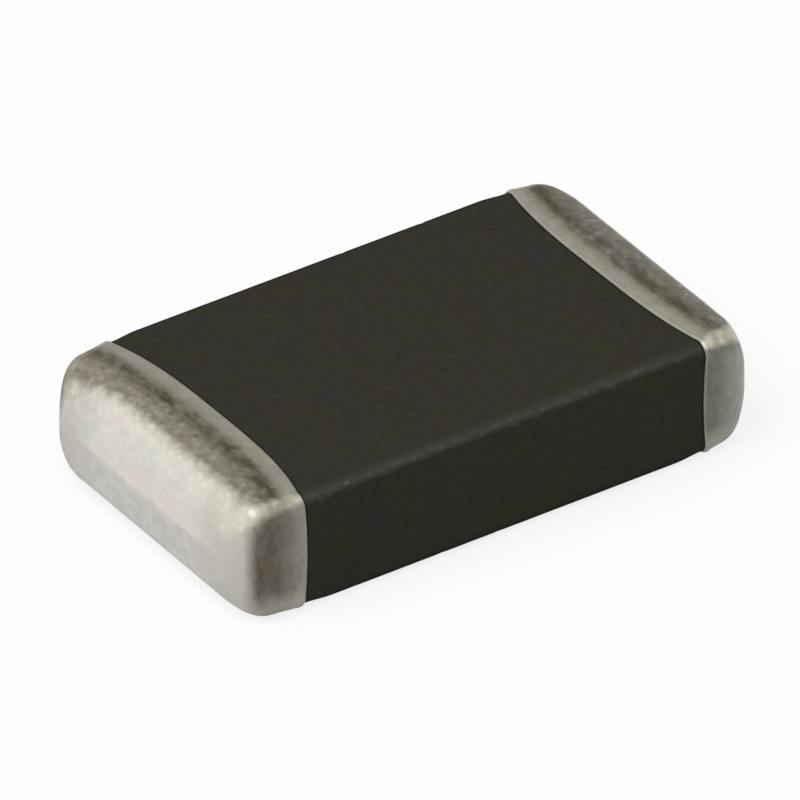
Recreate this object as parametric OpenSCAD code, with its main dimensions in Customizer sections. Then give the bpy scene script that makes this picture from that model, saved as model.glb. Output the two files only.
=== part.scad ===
// Multilayer chip inductor, low-profile size.
// A sintered ferrite block holds a printed silver coil, and each end wears a solderable cap:
// dipped and fired silver, a nickel barrier and a matt tin finish.
// Millimetres. X runs along the length, Z up, and the origin is the middle of the seating plane.

/* [Chip size] */
// Length over both caps
chip_len = 2.10; // [1.90:0.01:2.30]
// Width over both caps
chip_wid = 1.20; // [1.05:0.01:1.45]
// Thickness over both caps
chip_thk = 0.46; // [0.42:0.01:0.85]

/* [Ferrite block] */
// Radius of the long edges between the caps
block_edge_r = 0.026; // [0.012:0.002:0.040]
// Radius that tumbling gives the long edges where the caps end
block_foot_r = 0.044; // [0.030:0.002:0.060]
// Length over which the long edges grow rounder towards a cap
block_foot_run = 0.120; // [0.040:0.010:0.300]
// Radius that tumbling gives the long edges where the end rounding starts
block_shoulder_r = 0.068; // [0.040:0.002:0.080]
// Radius at the corners of the left end face
left_corner_r = 0.130; // [0.070:0.005:0.130]
// Radius at the corners of the right end face
right_corner_r = 0.140; // [0.070:0.005:0.140]
// How far the left end's edges round over, measured along the length
left_end_run = 0.110; // [0.060:0.005:0.130]
// How far the right end's edges round over, measured along the length
right_end_run = 0.105; // [0.060:0.005:0.130]
// How far the left end's edges round over, measured across the end face
left_end_drop = 0.095; // [0.050:0.005:0.100]
// How far the right end's edges round over, measured across the end face
right_end_drop = 0.065; // [0.050:0.005:0.100]

/* [Cap outline] */
// Reach of the left cap along the middle of the wide faces
left_reach = 0.314; // [0.270:0.002:0.500]
// Reach of the right cap along the middle of the wide faces
right_reach = 0.252; // [0.240:0.001:0.500]
// How far the left cap's edge draws back from there to the long edges
left_draw_back = 0.054; // [0.000:0.002:0.066]
// How far the right cap's edge draws back from there to the long edges
right_draw_back = 0.036; // [0.000:0.002:0.046]
// How much further the left cap reaches at the -Y long edges than at the +Y ones
left_skew = 0.010; // [-0.020:0.002:0.020]
// How much further the right cap reaches at the -Y long edges than at the +Y ones
right_skew = -0.014; // [-0.020:0.002:0.020]
// How far the caps bulge along the middle of the narrow faces
side_bulge = 0.008; // [0.000:0.002:0.020]
// Sharpness of the draw-back: 2 is a parabola, higher stays straight for longer
draw_back_power = 3.2; // [2.0:0.1:5.0]

/* [Silver base] */
// Thickness of the fired silver on the end face
silver_end_t = 0.024; // [0.015:0.001:0.036]
// Extra thickness in the middle of the end face, where the dipped paste gathers
silver_end_crown = 0.006; // [0.002:0.001:0.012]
// Thickness over the rounded end edges, where the paste thins
silver_corner_t = 0.005; // [0.003:0.001:0.010]
// Thickness along the crest of the wrapped band
silver_crest_t = 0.005; // [0.004:0.001:0.012]
// Thickness of the lip at the band's edge
silver_lip_t = 0.003; // [0.002:0.001:0.004]
// Length over which the lip rises
silver_lip_run = 0.010; // [0.005:0.001:0.014]

/* [Plating] */
// Thickness of the nickel barrier
nickel_t = 0.002; // [0.001:0.001:0.004]
// Thickness of the tin finish
tin_t = 0.003; // [0.002:0.001:0.008]

/* [Coil] */
// Printed conductor layers, three quarters of a turn each
coil_layers = 6; // [5, 6]
// Height from one conductor layer to the next
layer_pitch = 0.042; // [0.030:0.002:0.050]
// Thickness of a printed conductor
track_t = 0.014; // [0.008:0.001:0.020]
// Width of a printed conductor
track_w = 0.150; // [0.100:0.010:0.200]
// Length of the coil over its tracks
coil_len = 1.36; // [1.10:0.02:1.50]
// Width of the coil over its tracks
coil_wid = 0.78; // [0.60:0.02:0.84]
// Outer radius at the coil's corners
coil_corner_r = 0.100; // [0.050:0.010:0.120]
// Length of a track's pad past its last corner
pad_run = 0.050; // [0.020:0.010:0.080]
// Radius of the plugs that join one layer to the next
via_r = 0.035; // [0.020:0.005:0.045]
// Width of the leads that run out to the end faces
lead_w = 0.190; // [0.150:0.010:0.220]

/* [Hidden] */

// Steps round each corner of a section, and along each of its wide and narrow faces
corner_steps = 4;
wide_steps = 7;
narrow_steps = 4;
section_points = 4 * (corner_steps + 1) + 2 * (wide_steps - 1) + 2 * (narrow_steps - 1);
// Steps over a rounded end edge
end_steps = 4;
// Steps round each corner of a coil layer
coil_corner_steps = 4;
// Where the crest of the band starts and stops, as shares of the way from edge to end rounding
crest_start = 0.30;
crest_stop = 0.75;
// Fullest round that a section may have, as a share of its half thickness
fullest_round = 0.92;
// Size of the ring that carries the crown of the end face, as a share of that face
crown_ring = 0.55;
// Extra rounding of the silver over the long edges, where the paste thins
silver_edge_extra = 0.006;
// Knee of the lip: its shares of the way along the lip and up it
lip_knee_run = 0.3;
lip_knee_rise = 0.7;
// Direction in which the plating grows over the knee of the lip, in degrees
lip_knee_angle = 45;
// How far the lead cutters run out past the block before they are trimmed to it
lead_overrun = 0.020;
// Least inner radius at the corners of a coil layer
least_inner_r = 0.020;
// Facets round a plug
plug_facets = 12;

// Thickness of a whole cap at its crest and at the middle of its end face
plating_t = nickel_t + tin_t;
crest_t = silver_crest_t + plating_t;
end_t = silver_end_t + silver_end_crown + plating_t;

// Half sizes of the ferrite block
block_x = chip_len / 2 - end_t;
block_y = chip_wid / 2 - crest_t;
block_z = chip_thk / 2 - crest_t;

// Outline of each cap
left_cap = [left_reach, left_draw_back, left_skew, left_end_drop, left_end_run, left_corner_r];
right_cap = [right_reach, right_draw_back, right_skew, right_end_drop, right_end_run, right_corner_r];
function cap_reach(cap) = cap[0];
function cap_draw_back(cap) = cap[1];
function cap_skew(cap) = cap[2];
function cap_end_drop(cap) = cap[3];
function cap_end_run(cap) = cap[4];
function cap_corner_r(cap) = cap[5];

// Points of one corner arc about a centre, from a start angle
function arc(cy, cz, r, start) = [
    for (i = [0:corner_steps])
        let (t = start + 90 * i / corner_steps)
        [cy + r * cos(t), cz + r * sin(t)]
];

// Share of the way along a straight side: the steps are short near the corners, where the band's
// edge bends, and long in the middle
function eased(i, steps) = (1 - cos(180 * i / steps)) / 2;

// Points between two places, without the places themselves
function between(p, q, steps) = [for (i = [1:steps - 1]) p + (q - p) * eased(i, steps)];

// Rounded rectangle across the chip, as [y, z] points that run from +Y towards +Z
function section(y, z, wanted_r) = let (r = min(wanted_r, z * fullest_round)) concat(
    arc(y - r, z - r, r, 0),
    between([y - r, z], [r - y, z], wide_steps),
    arc(r - y, z - r, r, 90),
    between([-y, z - r], [-y, r - z], narrow_steps),
    arc(r - y, r - z, r, 180),
    between([r - y, -z], [y - r, -z], wide_steps),
    arc(y - r, r - z, r, 270),
    between([y, r - z], [y, z - r], narrow_steps)
);

// Where each point of a section lies: [share across a wide face, share up a narrow face].
// A share is 0 in the middle of its face and 1 on the corners.
wide_share = [for (i = [1:wide_steps - 1]) [1 - 2 * eased(i, wide_steps), 1]];
narrow_share = [for (i = [1:narrow_steps - 1]) [1, 1 - 2 * eased(i, narrow_steps)]];
corner_share = [for (i = [0:corner_steps]) [1, 1]];
half_share = concat(corner_share, wide_share, corner_share, narrow_share);
share = concat(half_share, half_share);

// Where each point lies from side to side: 1 on the +Y side and -1 on the -Y side
half_lean = concat(
    [for (s = corner_share) 1],
    [for (s = wide_share) s[0]],
    [for (s = corner_share) -1],
    [for (s = narrow_share) -1]
);
lean = concat(half_lean, -half_lean);

// Distance of the band's edge from the block's end face, at one point of the section.
// plating is the thickness of what still covers the edge.
function band_edge(cap, i, plating) =
    cap_reach(cap) - end_t - plating
    - cap_draw_back(cap) * pow(abs(share[i][0]), draw_back_power)
    - cap_skew(cap) / 2 * lean[i]
    + side_bulge * (1 - pow(share[i][1], 2));

// One ring of points: the section at a depth below the block's end face.
// The depth is a list, one value for each point of the section.
function ring(depth, y, z, r) =
    let (flat = section(y, z, r))
    [for (i = [0:section_points - 1]) [block_x - depth[i], flat[i][0], flat[i][1]]];

function level(depth) = [for (i = [0:section_points - 1]) depth];

// Depths part of the way from the silver's edge to the start of the end rounding
function band_depth(cap, part) = [
    for (i = [0:section_points - 1])
        let (edge = band_edge(cap, i, plating_t))
        edge + part * (cap_end_run(cap) - edge)
];

// Radius of the block's long edge there: it grows from the band's edge to the end rounding
function block_r(part) = block_foot_r + part * (block_shoulder_r - block_foot_r);

// Ring of the block at a distance inwards from the silver's edge
function block_bare_ring(cap, distance, r) =
    ring(band_depth(cap, 0) + level(distance), block_y, block_z, r);

// Radius of the long edge as it runs into a corner of the end face, at an angle of 0 to 90 degrees
function end_r(cap, angle) =
    block_shoulder_r + (cap_corner_r(cap) - block_shoulder_r) * (1 - cos(angle));

// Ring of the block over its rounded end edge
function block_end_ring(cap, angle) =
    let (drop = cap_end_drop(cap) * (1 - cos(angle)))
    ring(
        level(cap_end_run(cap) * (1 - sin(angle))),
        block_y - drop,
        block_z - drop,
        end_r(cap, angle)
    );

// The block from the silver's edge to its end face
function block_rings(cap) = concat(
    [block_bare_ring(cap, 0, block_foot_r)],
    [for (i = [0:end_steps]) block_end_ring(cap, 90 * i / end_steps)]
);

// The bare block between the silver's edge and the even long edges. Its radius grows only past the
// plating, which sits on an even land.
function block_foot_rings(cap) = [
    block_bare_ring(cap, block_foot_run, block_edge_r),
    block_bare_ring(cap, plating_t, block_foot_r)
];

// Ring on the wrapped band: how high it stands on the block, and how far its depth is shifted
function band_ring(cap, part, shift, height, extra) =
    ring(
        band_depth(cap, part) + level(shift),
        block_y + height,
        block_z + height,
        block_r(part) + height + extra
    );

// Thickness of the silver over the rounded end edge: thin at 45 degrees
function silver_t(angle) =
    let (
        thin = sin(2 * angle),
        thick = angle < 45 ? (silver_crest_t + silver_corner_t) / 2 : silver_end_t
    )
    silver_corner_t * thin + thick * (1 - thin);

// Ring of the cap over the rounded end edge, at an angle of 0 to 90 degrees
function cap_end_ring(cap, angle, plating) =
    let (
        drop = cap_end_drop(cap) * (1 - cos(angle)),
        t = silver_t(angle) + plating,
        up = t * cos(angle),
        out = t * sin(angle)
    )
    ring(
        level(cap_end_run(cap) * (1 - sin(angle)) - out),
        block_y - drop + up,
        block_z - drop + up,
        end_r(cap, angle) + up + silver_edge_extra * cos(angle)
    );

// Ring part of the way to the middle of the end face, on its crown
function crown_ring_at(cap, plating) =
    let (rise = silver_end_crown * (1 - pow(crown_ring, 2)))
    ring(
        level(-silver_end_t - rise - plating),
        (block_y - cap_end_drop(cap)) * crown_ring,
        (block_z - cap_end_drop(cap)) * crown_ring,
        cap_corner_r(cap) * crown_ring
    );

// Knee of the lip, where the band's edge turns from its steep foot to its crest
function lip_knee_ring(cap, plating) =
    band_ring(
        cap,
        0,
        plating * cos(lip_knee_angle) - silver_lip_run * lip_knee_run,
        plating * sin(lip_knee_angle) + silver_lip_t * lip_knee_rise,
        0
    );

// Outer surface of a cap, from its edge on the block to the crown of its end face.
// plating is the metal on top of the silver: 0, the nickel, or the nickel and the tin.
function cap_rings(cap, plating) = concat(
    [
        band_ring(cap, 0, plating, 0, 0),
        lip_knee_ring(cap, plating),
        band_ring(cap, 0, -silver_lip_run, silver_lip_t + plating, 0),
        band_ring(cap, crest_start, 0, silver_crest_t + plating, silver_edge_extra),
        band_ring(cap, crest_stop, 0, silver_crest_t + plating, silver_edge_extra)
    ],
    [for (i = [0:end_steps]) cap_end_ring(cap, 90 * i / end_steps, plating)],
    [crown_ring_at(cap, plating)]
);

// Middle of the crowned end face
function cap_apex(plating) = [block_x + silver_end_t + silver_end_crown + plating, 0, 0];

function reversed(list) = [for (i = [len(list) - 1:-1:0]) list[i]];

// A list without its first item
function tail(list) = [for (i = [1:len(list) - 1]) list[i]];

// Rings carried over to the left end
function flipped(rings) = [for (points = rings) [for (p = points) [-p[0], p[1], p[2]]]];

// Two triangles between neighbouring rings. The diagonal always leans the same way seen from the
// middle of the chip, so two skins that meet share every facet.
function facet_pair(a, b, i, outwards) =
    let (j = (i + 1) % section_points)
    outwards
        ? [[a + i, b + j, a + j], [a + i, b + i, b + j]]
        : [[a + i, b + i, a + j], [a + j, b + i, b + j]];

// A closed solid drawn over a string of rings, closed at each end by a fan to a point.
module loft(rings, first_point, last_point) {
    n = section_points;
    last = len(rings) - 1;
    first_index = (last + 1) * n;
    last_index = first_index + 1;
    skin = [
        for (k = [0:last - 1])
            let (outwards = abs(rings[k][0][0]) < abs(rings[k + 1][0][0]))
            for (i = [0:n - 1])
                each facet_pair(k * n, (k + 1) * n, i, outwards)
    ];
    first_fan = [for (i = [0:n - 1]) [first_index, i, (i + 1) % n]];
    last_fan = [for (i = [0:n - 1]) [last * n + i, last_index, last * n + (i + 1) % n]];
    points = concat([for (r = rings) each r], [first_point, last_point]);
    translate([0, 0, chip_thk / 2])
        polyhedron(points, concat(first_fan, skin, last_fan), convexity = 6);
}

// The ferrite block before the coil's space is taken out of it
module ferrite_block() {
    left_rings = concat(block_foot_rings(left_cap), block_rings(left_cap));
    right_rings = concat(block_foot_rings(right_cap), block_rings(right_cap));
    loft(
        concat(reversed(flipped(left_rings)), right_rings),
        [-block_x, 0, 0],
        [block_x, 0, 0]
    );
}

// Corner of the coil's track, counted 0 to 3 from +X +Y
function coil_corner(i) =
    let (x = coil_len / 2 - track_w / 2, y = coil_wid / 2 - track_w / 2)
    [[x, y], [-x, y], [-x, -y], [x, -y]][i % 4];

// The track goes round three sides of each layer, so each layer starts one corner back
function start_corner(layer) = (1 + 3 * layer) % 4;

// Height of a layer's underside: the stack is centred in the block
function layer_z(layer) = (chip_thk - track_t) / 2 + (layer - (coil_layers - 1) / 2) * layer_pitch;

// Rounded rectangle of half sizes x and y
function rounded_frame(x, y, r) = [
    for (quarter = [0:3], i = [0:coil_corner_steps])
        let (
            t = 90 * (quarter + i / coil_corner_steps),
            sx = quarter == 0 || quarter == 3 ? 1 : -1,
            sy = quarter < 2 ? 1 : -1
        )
        [sx * (x - r) + r * cos(t), sy * (y - r) + r * sin(t)]
];

// One printed layer: a frame with the side before its starting corner left open
module coil_layer(layer) {
    a = coil_corner(start_corner(layer));
    b = coil_corner(start_corner(layer) + 3);
    along_x = abs(a[0] - b[0]) > abs(a[1] - b[1]);
    pad = track_w / 2 + pad_run;
    gap_x = along_x ? abs(a[0] - b[0]) - 2 * pad : 2 * track_w;
    gap_y = along_x ? 2 * track_w : abs(a[1] - b[1]) - 2 * pad;
    inner_r = max(coil_corner_r - track_w, least_inner_r);
    linear_extrude(track_t)
        difference() {
            polygon(rounded_frame(coil_len / 2, coil_wid / 2, coil_corner_r));
            polygon(rounded_frame(coil_len / 2 - track_w, coil_wid / 2 - track_w, inner_r));
            translate([(a[0] + b[0]) / 2, (a[1] + b[1]) / 2])
                square([gap_x, gap_y], center = true);
        }
}

// Lead from a corner pad to past the block's end face
module coil_lead(layer, corner, side) {
    reach = block_x + lead_overrun - coil_len / 2 + track_w;
    edge_y = sign(corner[1]) * (coil_wid / 2 - lead_w / 2);
    translate([side * (coil_len / 2 - track_w + reach / 2), edge_y, layer_z(layer) + track_t / 2])
        cube([reach, lead_w, track_t], center = true);
}

// The whole conductor, with its leads still running past the block
module coil_print() {
    top = coil_layers - 1;
    for (layer = [0:top])
        translate([0, 0, layer_z(layer)])
            coil_layer(layer);
    for (layer = [0:top - 1])
        translate([
            coil_corner(start_corner(layer + 1))[0],
            coil_corner(start_corner(layer + 1))[1],
            layer_z(layer) + track_t / 2
        ])
            cylinder(r = via_r, h = layer_pitch, $fn = plug_facets);
    coil_lead(0, coil_corner(start_corner(0)), -1);
    coil_lead(top, coil_corner(start_corner(top) + 3), 1);
}

module ferrite_body() {
    color([0.20, 0.20, 0.17])
        difference() {
            ferrite_block();
            coil_print();
        }
}

module coil_winding() {
    color([0.80, 0.78, 0.74])
        intersection() {
            coil_print();
            ferrite_block();
        }
}

// Silver cap: its inner skin is the block's own surface
module silver_base(cap) {
    color([0.72, 0.71, 0.69])
        loft(
            concat(reversed(block_rings(cap)), tail(cap_rings(cap, 0))),
            [block_x, 0, 0],
            cap_apex(0)
        );
}

// Plated layer between two thicknesses of metal on the silver
module plated_layer(cap, under, over) {
    loft(
        concat(reversed(cap_rings(cap, under)), cap_rings(cap, over)),
        cap_apex(under),
        cap_apex(over)
    );
}

module nickel_barrier(cap) {
    color([0.62, 0.60, 0.55])
        plated_layer(cap, 0, nickel_t);
}

// Overall size of the chip. It trims the crest of each cap to one flat land, on which the chip sits.
module seat_envelope() {
    translate([-chip_len / 2, -chip_wid / 2, 0])
        cube([chip_len, chip_wid, chip_thk]);
}

module tin_finish(cap) {
    color([0.80, 0.79, 0.75])
        intersection() {
            plated_layer(cap, nickel_t, plating_t);
            seat_envelope();
        }
}

module right_silver_base() {
    silver_base(right_cap);
}

module right_nickel_barrier() {
    nickel_barrier(right_cap);
}

module right_tin_finish() {
    tin_finish(right_cap);
}

module left_silver_base() {
    mirror([1, 0, 0])
        silver_base(left_cap);
}

module left_nickel_barrier() {
    mirror([1, 0, 0])
        nickel_barrier(left_cap);
}

module left_tin_finish() {
    mirror([1, 0, 0])
        tin_finish(left_cap);
}

ferrite_body();
coil_winding();
left_silver_base();
left_nickel_barrier();
left_tin_finish();
right_silver_base();
right_nickel_barrier();
right_tin_finish();
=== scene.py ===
# %% [markdown]
# # A multilayer chip inductor
# A chip inductor is a small block of sintered ferrite with a coil printed inside it.
# Each end wears a cap of dipped silver, plated with nickel and then with matt tin.
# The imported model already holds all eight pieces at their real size. This script adds the looks:
# finer skins for the three pieces that can be seen, a finish for every piece, lamps and a camera.

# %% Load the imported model
import math

import bmesh
import bpy
import numpy as np
from mathutils import Matrix, Vector


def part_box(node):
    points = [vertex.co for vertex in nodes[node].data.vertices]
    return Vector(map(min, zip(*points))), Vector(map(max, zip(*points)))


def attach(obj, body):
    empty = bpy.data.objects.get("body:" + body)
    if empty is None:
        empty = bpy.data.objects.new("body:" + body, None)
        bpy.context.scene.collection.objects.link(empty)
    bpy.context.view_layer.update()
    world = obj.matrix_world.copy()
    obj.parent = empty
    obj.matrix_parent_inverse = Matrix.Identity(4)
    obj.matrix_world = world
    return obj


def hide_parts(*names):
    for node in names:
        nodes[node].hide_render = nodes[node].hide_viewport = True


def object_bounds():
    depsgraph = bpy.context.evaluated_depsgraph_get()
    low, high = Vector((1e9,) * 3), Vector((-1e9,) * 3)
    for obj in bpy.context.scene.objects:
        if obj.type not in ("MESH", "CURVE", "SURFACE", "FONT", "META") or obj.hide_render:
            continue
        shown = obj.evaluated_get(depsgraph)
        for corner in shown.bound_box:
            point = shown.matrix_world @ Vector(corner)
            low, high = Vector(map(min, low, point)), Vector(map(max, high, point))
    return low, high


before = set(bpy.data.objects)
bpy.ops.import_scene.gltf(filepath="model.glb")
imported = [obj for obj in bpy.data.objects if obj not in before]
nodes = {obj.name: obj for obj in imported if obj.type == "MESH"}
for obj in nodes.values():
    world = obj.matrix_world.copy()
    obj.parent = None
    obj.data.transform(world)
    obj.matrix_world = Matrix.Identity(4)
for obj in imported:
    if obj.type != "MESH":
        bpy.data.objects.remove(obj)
cad_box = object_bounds()
print("pieces of the packed model:", sorted(nodes))

# %% [markdown]
# ## Units
# Blender counts in metres, but this chip is 2 mm long. The shapes below are worked out in
# millimetres, which keeps the numbers readable, and each finished mesh is scaled to metres once.
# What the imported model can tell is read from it, so the skins fit the solids. The few sizes that a
# box can't tell, such as radii and the thickness of a layer, are written down once, below.

# %% Read the sizes of the solids
MM = 0.001


def box_mm(node):
    low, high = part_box(node)
    return np.array(low) / MM, np.array(high) / MM


chip_low = np.array(cad_box[0]) / MM
chip_high = np.array(cad_box[1]) / MM
chip_middle = (chip_low + chip_high) / 2
block_x, block_y, block_z = (box_mm("ferrite_body")[1] - box_mm("ferrite_body")[0]) / 2
end_t = chip_high[0] - block_x
crest_t = chip_high[1] - block_y
print("chip, mm:", np.round(chip_high - chip_low, 3).tolist())
print("half block, mm:", [round(float(v), 3) for v in (block_x, block_y, block_z)])

# %% Name the sizes that a box can't tell
nickel_t, tin_t = 0.002, 0.003
plating_t = nickel_t + tin_t
silver_end_t, silver_corner_t = 0.024, 0.005
silver_crest_t = crest_t - plating_t
silver_end_crown = end_t - plating_t - silver_end_t
silver_lip_t, silver_lip_run = 0.003, 0.010
silver_edge_extra = 0.006
block_edge_r, block_foot_r, block_shoulder_r, block_foot_run = 0.026, 0.044, 0.068, 0.120
side_bulge, draw_back_power = 0.008, 3.2
crest_start, crest_stop = 0.30, 0.75
fullest_round = 0.92
LEFT = {
    "side": -1, "reach": 0.314, "draw_back": 0.054, "skew": 0.010,
    "end_drop": 0.095, "end_run": 0.110, "corner_r": 0.130,
}
RIGHT = {
    "side": 1, "reach": 0.252, "draw_back": 0.036, "skew": -0.014,
    "end_drop": 0.065, "end_run": 0.105, "corner_r": 0.140,
}
print("silver on the crest and in the crown, mm:", round(silver_crest_t, 4), round(silver_end_crown, 4))

# %% [markdown]
# ## One outline for every skin
# A section across the chip is a rectangle with round corners. The easy way to draw one at any
# size and radius is to walk round a smaller, sharp rectangle and step outwards by the radius.
# So each point of the outline keeps four numbers: its share of the way across and up the sharp
# rectangle, and the direction of its step. Sections of any size then have matching points,
# and they can be joined into a skin, one ring after another.

# %% Make the outline
CORNER_STEPS, WIDE_STEPS, NARROW_STEPS = 12, 128, 48


def eased(steps):
    """Shares of the way along a straight side, closer together near its ends."""
    even = np.arange(1, steps) / steps
    return 0.5 * even + 0.5 * (1 - np.cos(math.pi * even)) / 2


def outline_points():
    """Each point's share of the way across and up the sharp rectangle, and the way it steps out."""
    across, up, step_y, step_z = [], [], [], []
    corners = [(1, 1), (-1, 1), (-1, -1), (1, -1)]
    for quarter, (sy, sz) in enumerate(corners):
        turn = np.radians(90 * (quarter + np.arange(CORNER_STEPS + 1) / CORNER_STEPS))
        across += [sy] * len(turn)
        up += [sz] * len(turn)
        step_y += list(np.cos(turn))
        step_z += list(np.sin(turn))
        wide = quarter % 2 == 0
        way = eased(WIDE_STEPS if wide else NARROW_STEPS)
        next_y, next_z = corners[(quarter + 1) % 4]
        across += list(sy + (next_y - sy) * way)
        up += list(sz + (next_z - sz) * way)
        step_y += [0.0 if wide else float(sy)] * len(way)
        step_z += [float(sz) if wide else 0.0] * len(way)
    return tuple(np.array(v, float) for v in (across, up, step_y, step_z))


across, up, step_y, step_z = outline_points()
AROUND = len(across)
print("points round the outline:", AROUND)


def section(half_y, half_z, wanted_r):
    """One outline at a size, as y and z of each of its points."""
    r = np.minimum(wanted_r, half_z * fullest_round)
    return across * (half_y - r) + step_y * r, up * (half_z - r) + step_z * r


def blend(a, b, share):
    """From a to b, with a soft start and a soft end."""
    t = np.clip(share, 0, 1)
    return a + (b - a) * t * t * (3 - 2 * t)


# %% [markdown]
# ## Where a cap ends
# A cap is made by dipping the end of the block in silver paste. The paste creeps furthest along
# the middle of the wide faces and draws back at the long edges, so its edge is a shallow bow.
# A power of the distance from the middle draws that bow: a power of 2 would give a parabola, and
# a higher one stays straight for longer, as the edge of the real cap does.

# %% The edge of a cap
def band_edge(cap):
    """Depth of the silver's edge below the block's end face, for each point of the outline."""
    return (
        cap["reach"] - end_t - plating_t
        - cap["draw_back"] * np.abs(across) ** draw_back_power
        - cap["skew"] / 2 * across
        + side_bulge * (1 - up ** 2)
    )


def band_depth(cap, part):
    """Part of the way from the edge of the silver to the start of the end rounding."""
    edge = band_edge(cap)
    return edge + part * (cap["end_run"] - edge)


def ring(cap, depth, half_y, half_z, r):
    """One ring of points at a depth below the block's end face."""
    y, z = section(half_y, half_z, r)
    x = cap["side"] * (block_x - depth) * np.ones(AROUND)
    return np.column_stack([x, y, z + chip_middle[2]])


def end_r(cap, angle):
    """Radius of the long edge as it runs into a corner of the end face."""
    return block_shoulder_r + (cap["corner_r"] - block_shoulder_r) * (1 - math.cos(angle))


for cap, node in ((LEFT, "left_tin_finish"), (RIGHT, "right_tin_finish")):
    reach = band_edge(cap).max() + end_t + plating_t
    solid_reach = (box_mm(node)[1] - box_mm(node)[0])[0]
    print(f"{node}: reach {reach:.4f} mm, and {solid_reach:.4f} mm on the solid")

# %% [markdown]
# ## From rings to a mesh
# Neighbouring rings are joined with quads, and a fan of triangles closes each end. The rings of
# the left end run the other way, so its faces would point inwards. Blender can put that right:
# with doubles merged, it recalculates the normals of the closed shell, and a positive volume
# proves that they point outwards.

# %% Helpers that skin a string of rings and apply modifiers
MERGE_MM = 1e-6


def skin(name, rings, first_point, last_point, values):
    """A closed mesh over the rings. values holds one array per attribute, ring by ring."""
    count = len(rings)
    points = np.vstack(rings + [first_point, last_point])
    here = np.arange(AROUND)
    there = (here + 1) % AROUND
    quads = [
        np.column_stack([k + here, k + there, k + AROUND + there, k + AROUND + here])
        for k in range(0, (count - 1) * AROUND, AROUND)
    ]
    last = (count - 1) * AROUND
    first_fan = np.column_stack([there, here, np.full(AROUND, count * AROUND)])
    last_fan = np.column_stack([last + here, last + there, np.full(AROUND, count * AROUND + 1)])
    faces = np.vstack(quads).tolist() + first_fan.tolist() + last_fan.tolist()
    mesh = bpy.data.meshes.new(name)
    mesh.from_pydata(points.tolist(), [], faces)
    for label, rows in values.items():
        layer = mesh.attributes.new(label, "FLOAT", "POINT")
        ends = [float(rows[0].mean()), float(rows[-1].mean())]
        layer.data.foreach_set("value", np.concatenate(rows + [ends]).astype(np.float32))
    shell = bmesh.new()
    shell.from_mesh(mesh)
    bmesh.ops.remove_doubles(shell, verts=shell.verts, dist=MERGE_MM)
    bmesh.ops.recalc_face_normals(shell, faces=shell.faces)
    volume = shell.calc_volume(signed=True)
    if volume < 0:
        bmesh.ops.reverse_faces(shell, faces=shell.faces)
    shell.to_mesh(mesh)
    shell.free()
    print(f"{name}: {len(mesh.polygons)} faces, {abs(volume):.5f} mm3")
    piece = bpy.data.objects.new(name, mesh)
    bpy.context.scene.collection.objects.link(piece)
    return piece


def bake(piece):
    """Turns what the modifiers make into the piece's own plain mesh."""
    graph = bpy.context.evaluated_depsgraph_get()
    made = bpy.data.meshes.new_from_object(piece.evaluated_get(graph), depsgraph=graph)
    piece.modifiers.clear()
    old = piece.data
    piece.data = made
    made.name = piece.name
    bpy.data.meshes.remove(old)


# %% [markdown]
# ## The ferrite block
# The block is cut from a pressed stack of sheets, tumbled so that its edges go round, and fired.
# Its skin needs three kinds of rings: over the rounded ends, along the part under each cap, and
# along the bare middle. Three values go with each point: how far it lies from the nearest cap, how
# far over the nearest long edge, and how much that edge is worn and lit. The finish uses them for
# wear and for painted light, which both follow the shape: the upper front edge is painted pale,
# partly as wear and partly as a painted highlight, and the other long edges get painted shade.

# %% Rings of the block
END_STEPS, UNDER_CAP_STEPS, MIDDLE_STEPS = 10, 6, 150


def block_end_rings(cap):
    """From the block's flat end over the rounding, then along the band to the cap's edge."""
    rings = []
    for angle in np.radians(np.linspace(90, 0, END_STEPS + 1)):
        drop = cap["end_drop"] * (1 - math.cos(angle))
        depth = cap["end_run"] * (1 - math.sin(angle))
        rings.append(ring(cap, depth, block_y - drop, block_z - drop, end_r(cap, angle)))
    for part in np.linspace(1, 0, UNDER_CAP_STEPS + 1)[1:]:
        r = block_foot_r + part * (block_shoulder_r - block_foot_r)
        rings.append(ring(cap, band_depth(cap, part), block_y, block_z, r))
    return rings


left_end = block_end_rings(LEFT)
right_end = block_end_rings(RIGHT)
left_foot = left_end[-1][:, 0] + plating_t
right_foot = right_end[-1][:, 0] - plating_t


def middle_ring(share):
    """A ring of the bare block, whose long edges grow rounder towards the caps."""
    x = left_end[-1][:, 0] * (1 - share) + right_end[-1][:, 0] * share
    from_foot = np.minimum(x - left_foot, right_foot - x)
    r = blend(block_foot_r, block_edge_r, from_foot / (block_foot_run - plating_t))
    y, z = section(block_y, block_z, r)
    return np.column_stack([x, y, z + chip_middle[2]])


middle_rings = [middle_ring(share) for share in np.linspace(0, 1, MIDDLE_STEPS + 1)[1:-1]]
block_rings = left_end + middle_rings + right_end[::-1]


def over_edge(points):
    """0 in the middle of a long edge, more on the wide face, less than 0 on the narrow face."""
    from_side = block_y - np.abs(points[:, 1])
    from_top = block_z - np.abs(points[:, 2] - chip_middle[2])
    return from_side - from_top


# the upper front edge is worn and gets a painted highlight; the other long edges get painted shade
worn_and_lit_share, spared_and_shaded_share = 1.0, 0.15
front_edge = np.where((across < 0) & (up > 0), worn_and_lit_share, spared_and_shaded_share)
block_values = {
    "from_cap": [np.minimum(r[:, 0] - left_foot, right_foot - r[:, 0]) for r in block_rings],
    "over_edge": [over_edge(r) for r in block_rings],
    "edge_wear_and_light": [front_edge for r in block_rings],
}
block_middle = np.array([0, 0, chip_middle[2]])
ferrite = skin(
    "ferrite_block",
    block_rings,
    block_middle - [block_x, 0, 0],
    block_middle + [block_x, 0, 0],
    block_values,
)

# %% [markdown]
# ## The space of the coil
# The coil is fired together with the ferrite, so the block has a hollow of exactly its shape.
# A Boolean modifier cuts it with a copy of the coil. A cutter that ends flush with the surface
# gives ragged faces, so the leads of the copy are drawn out past the block's end faces first.

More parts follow.
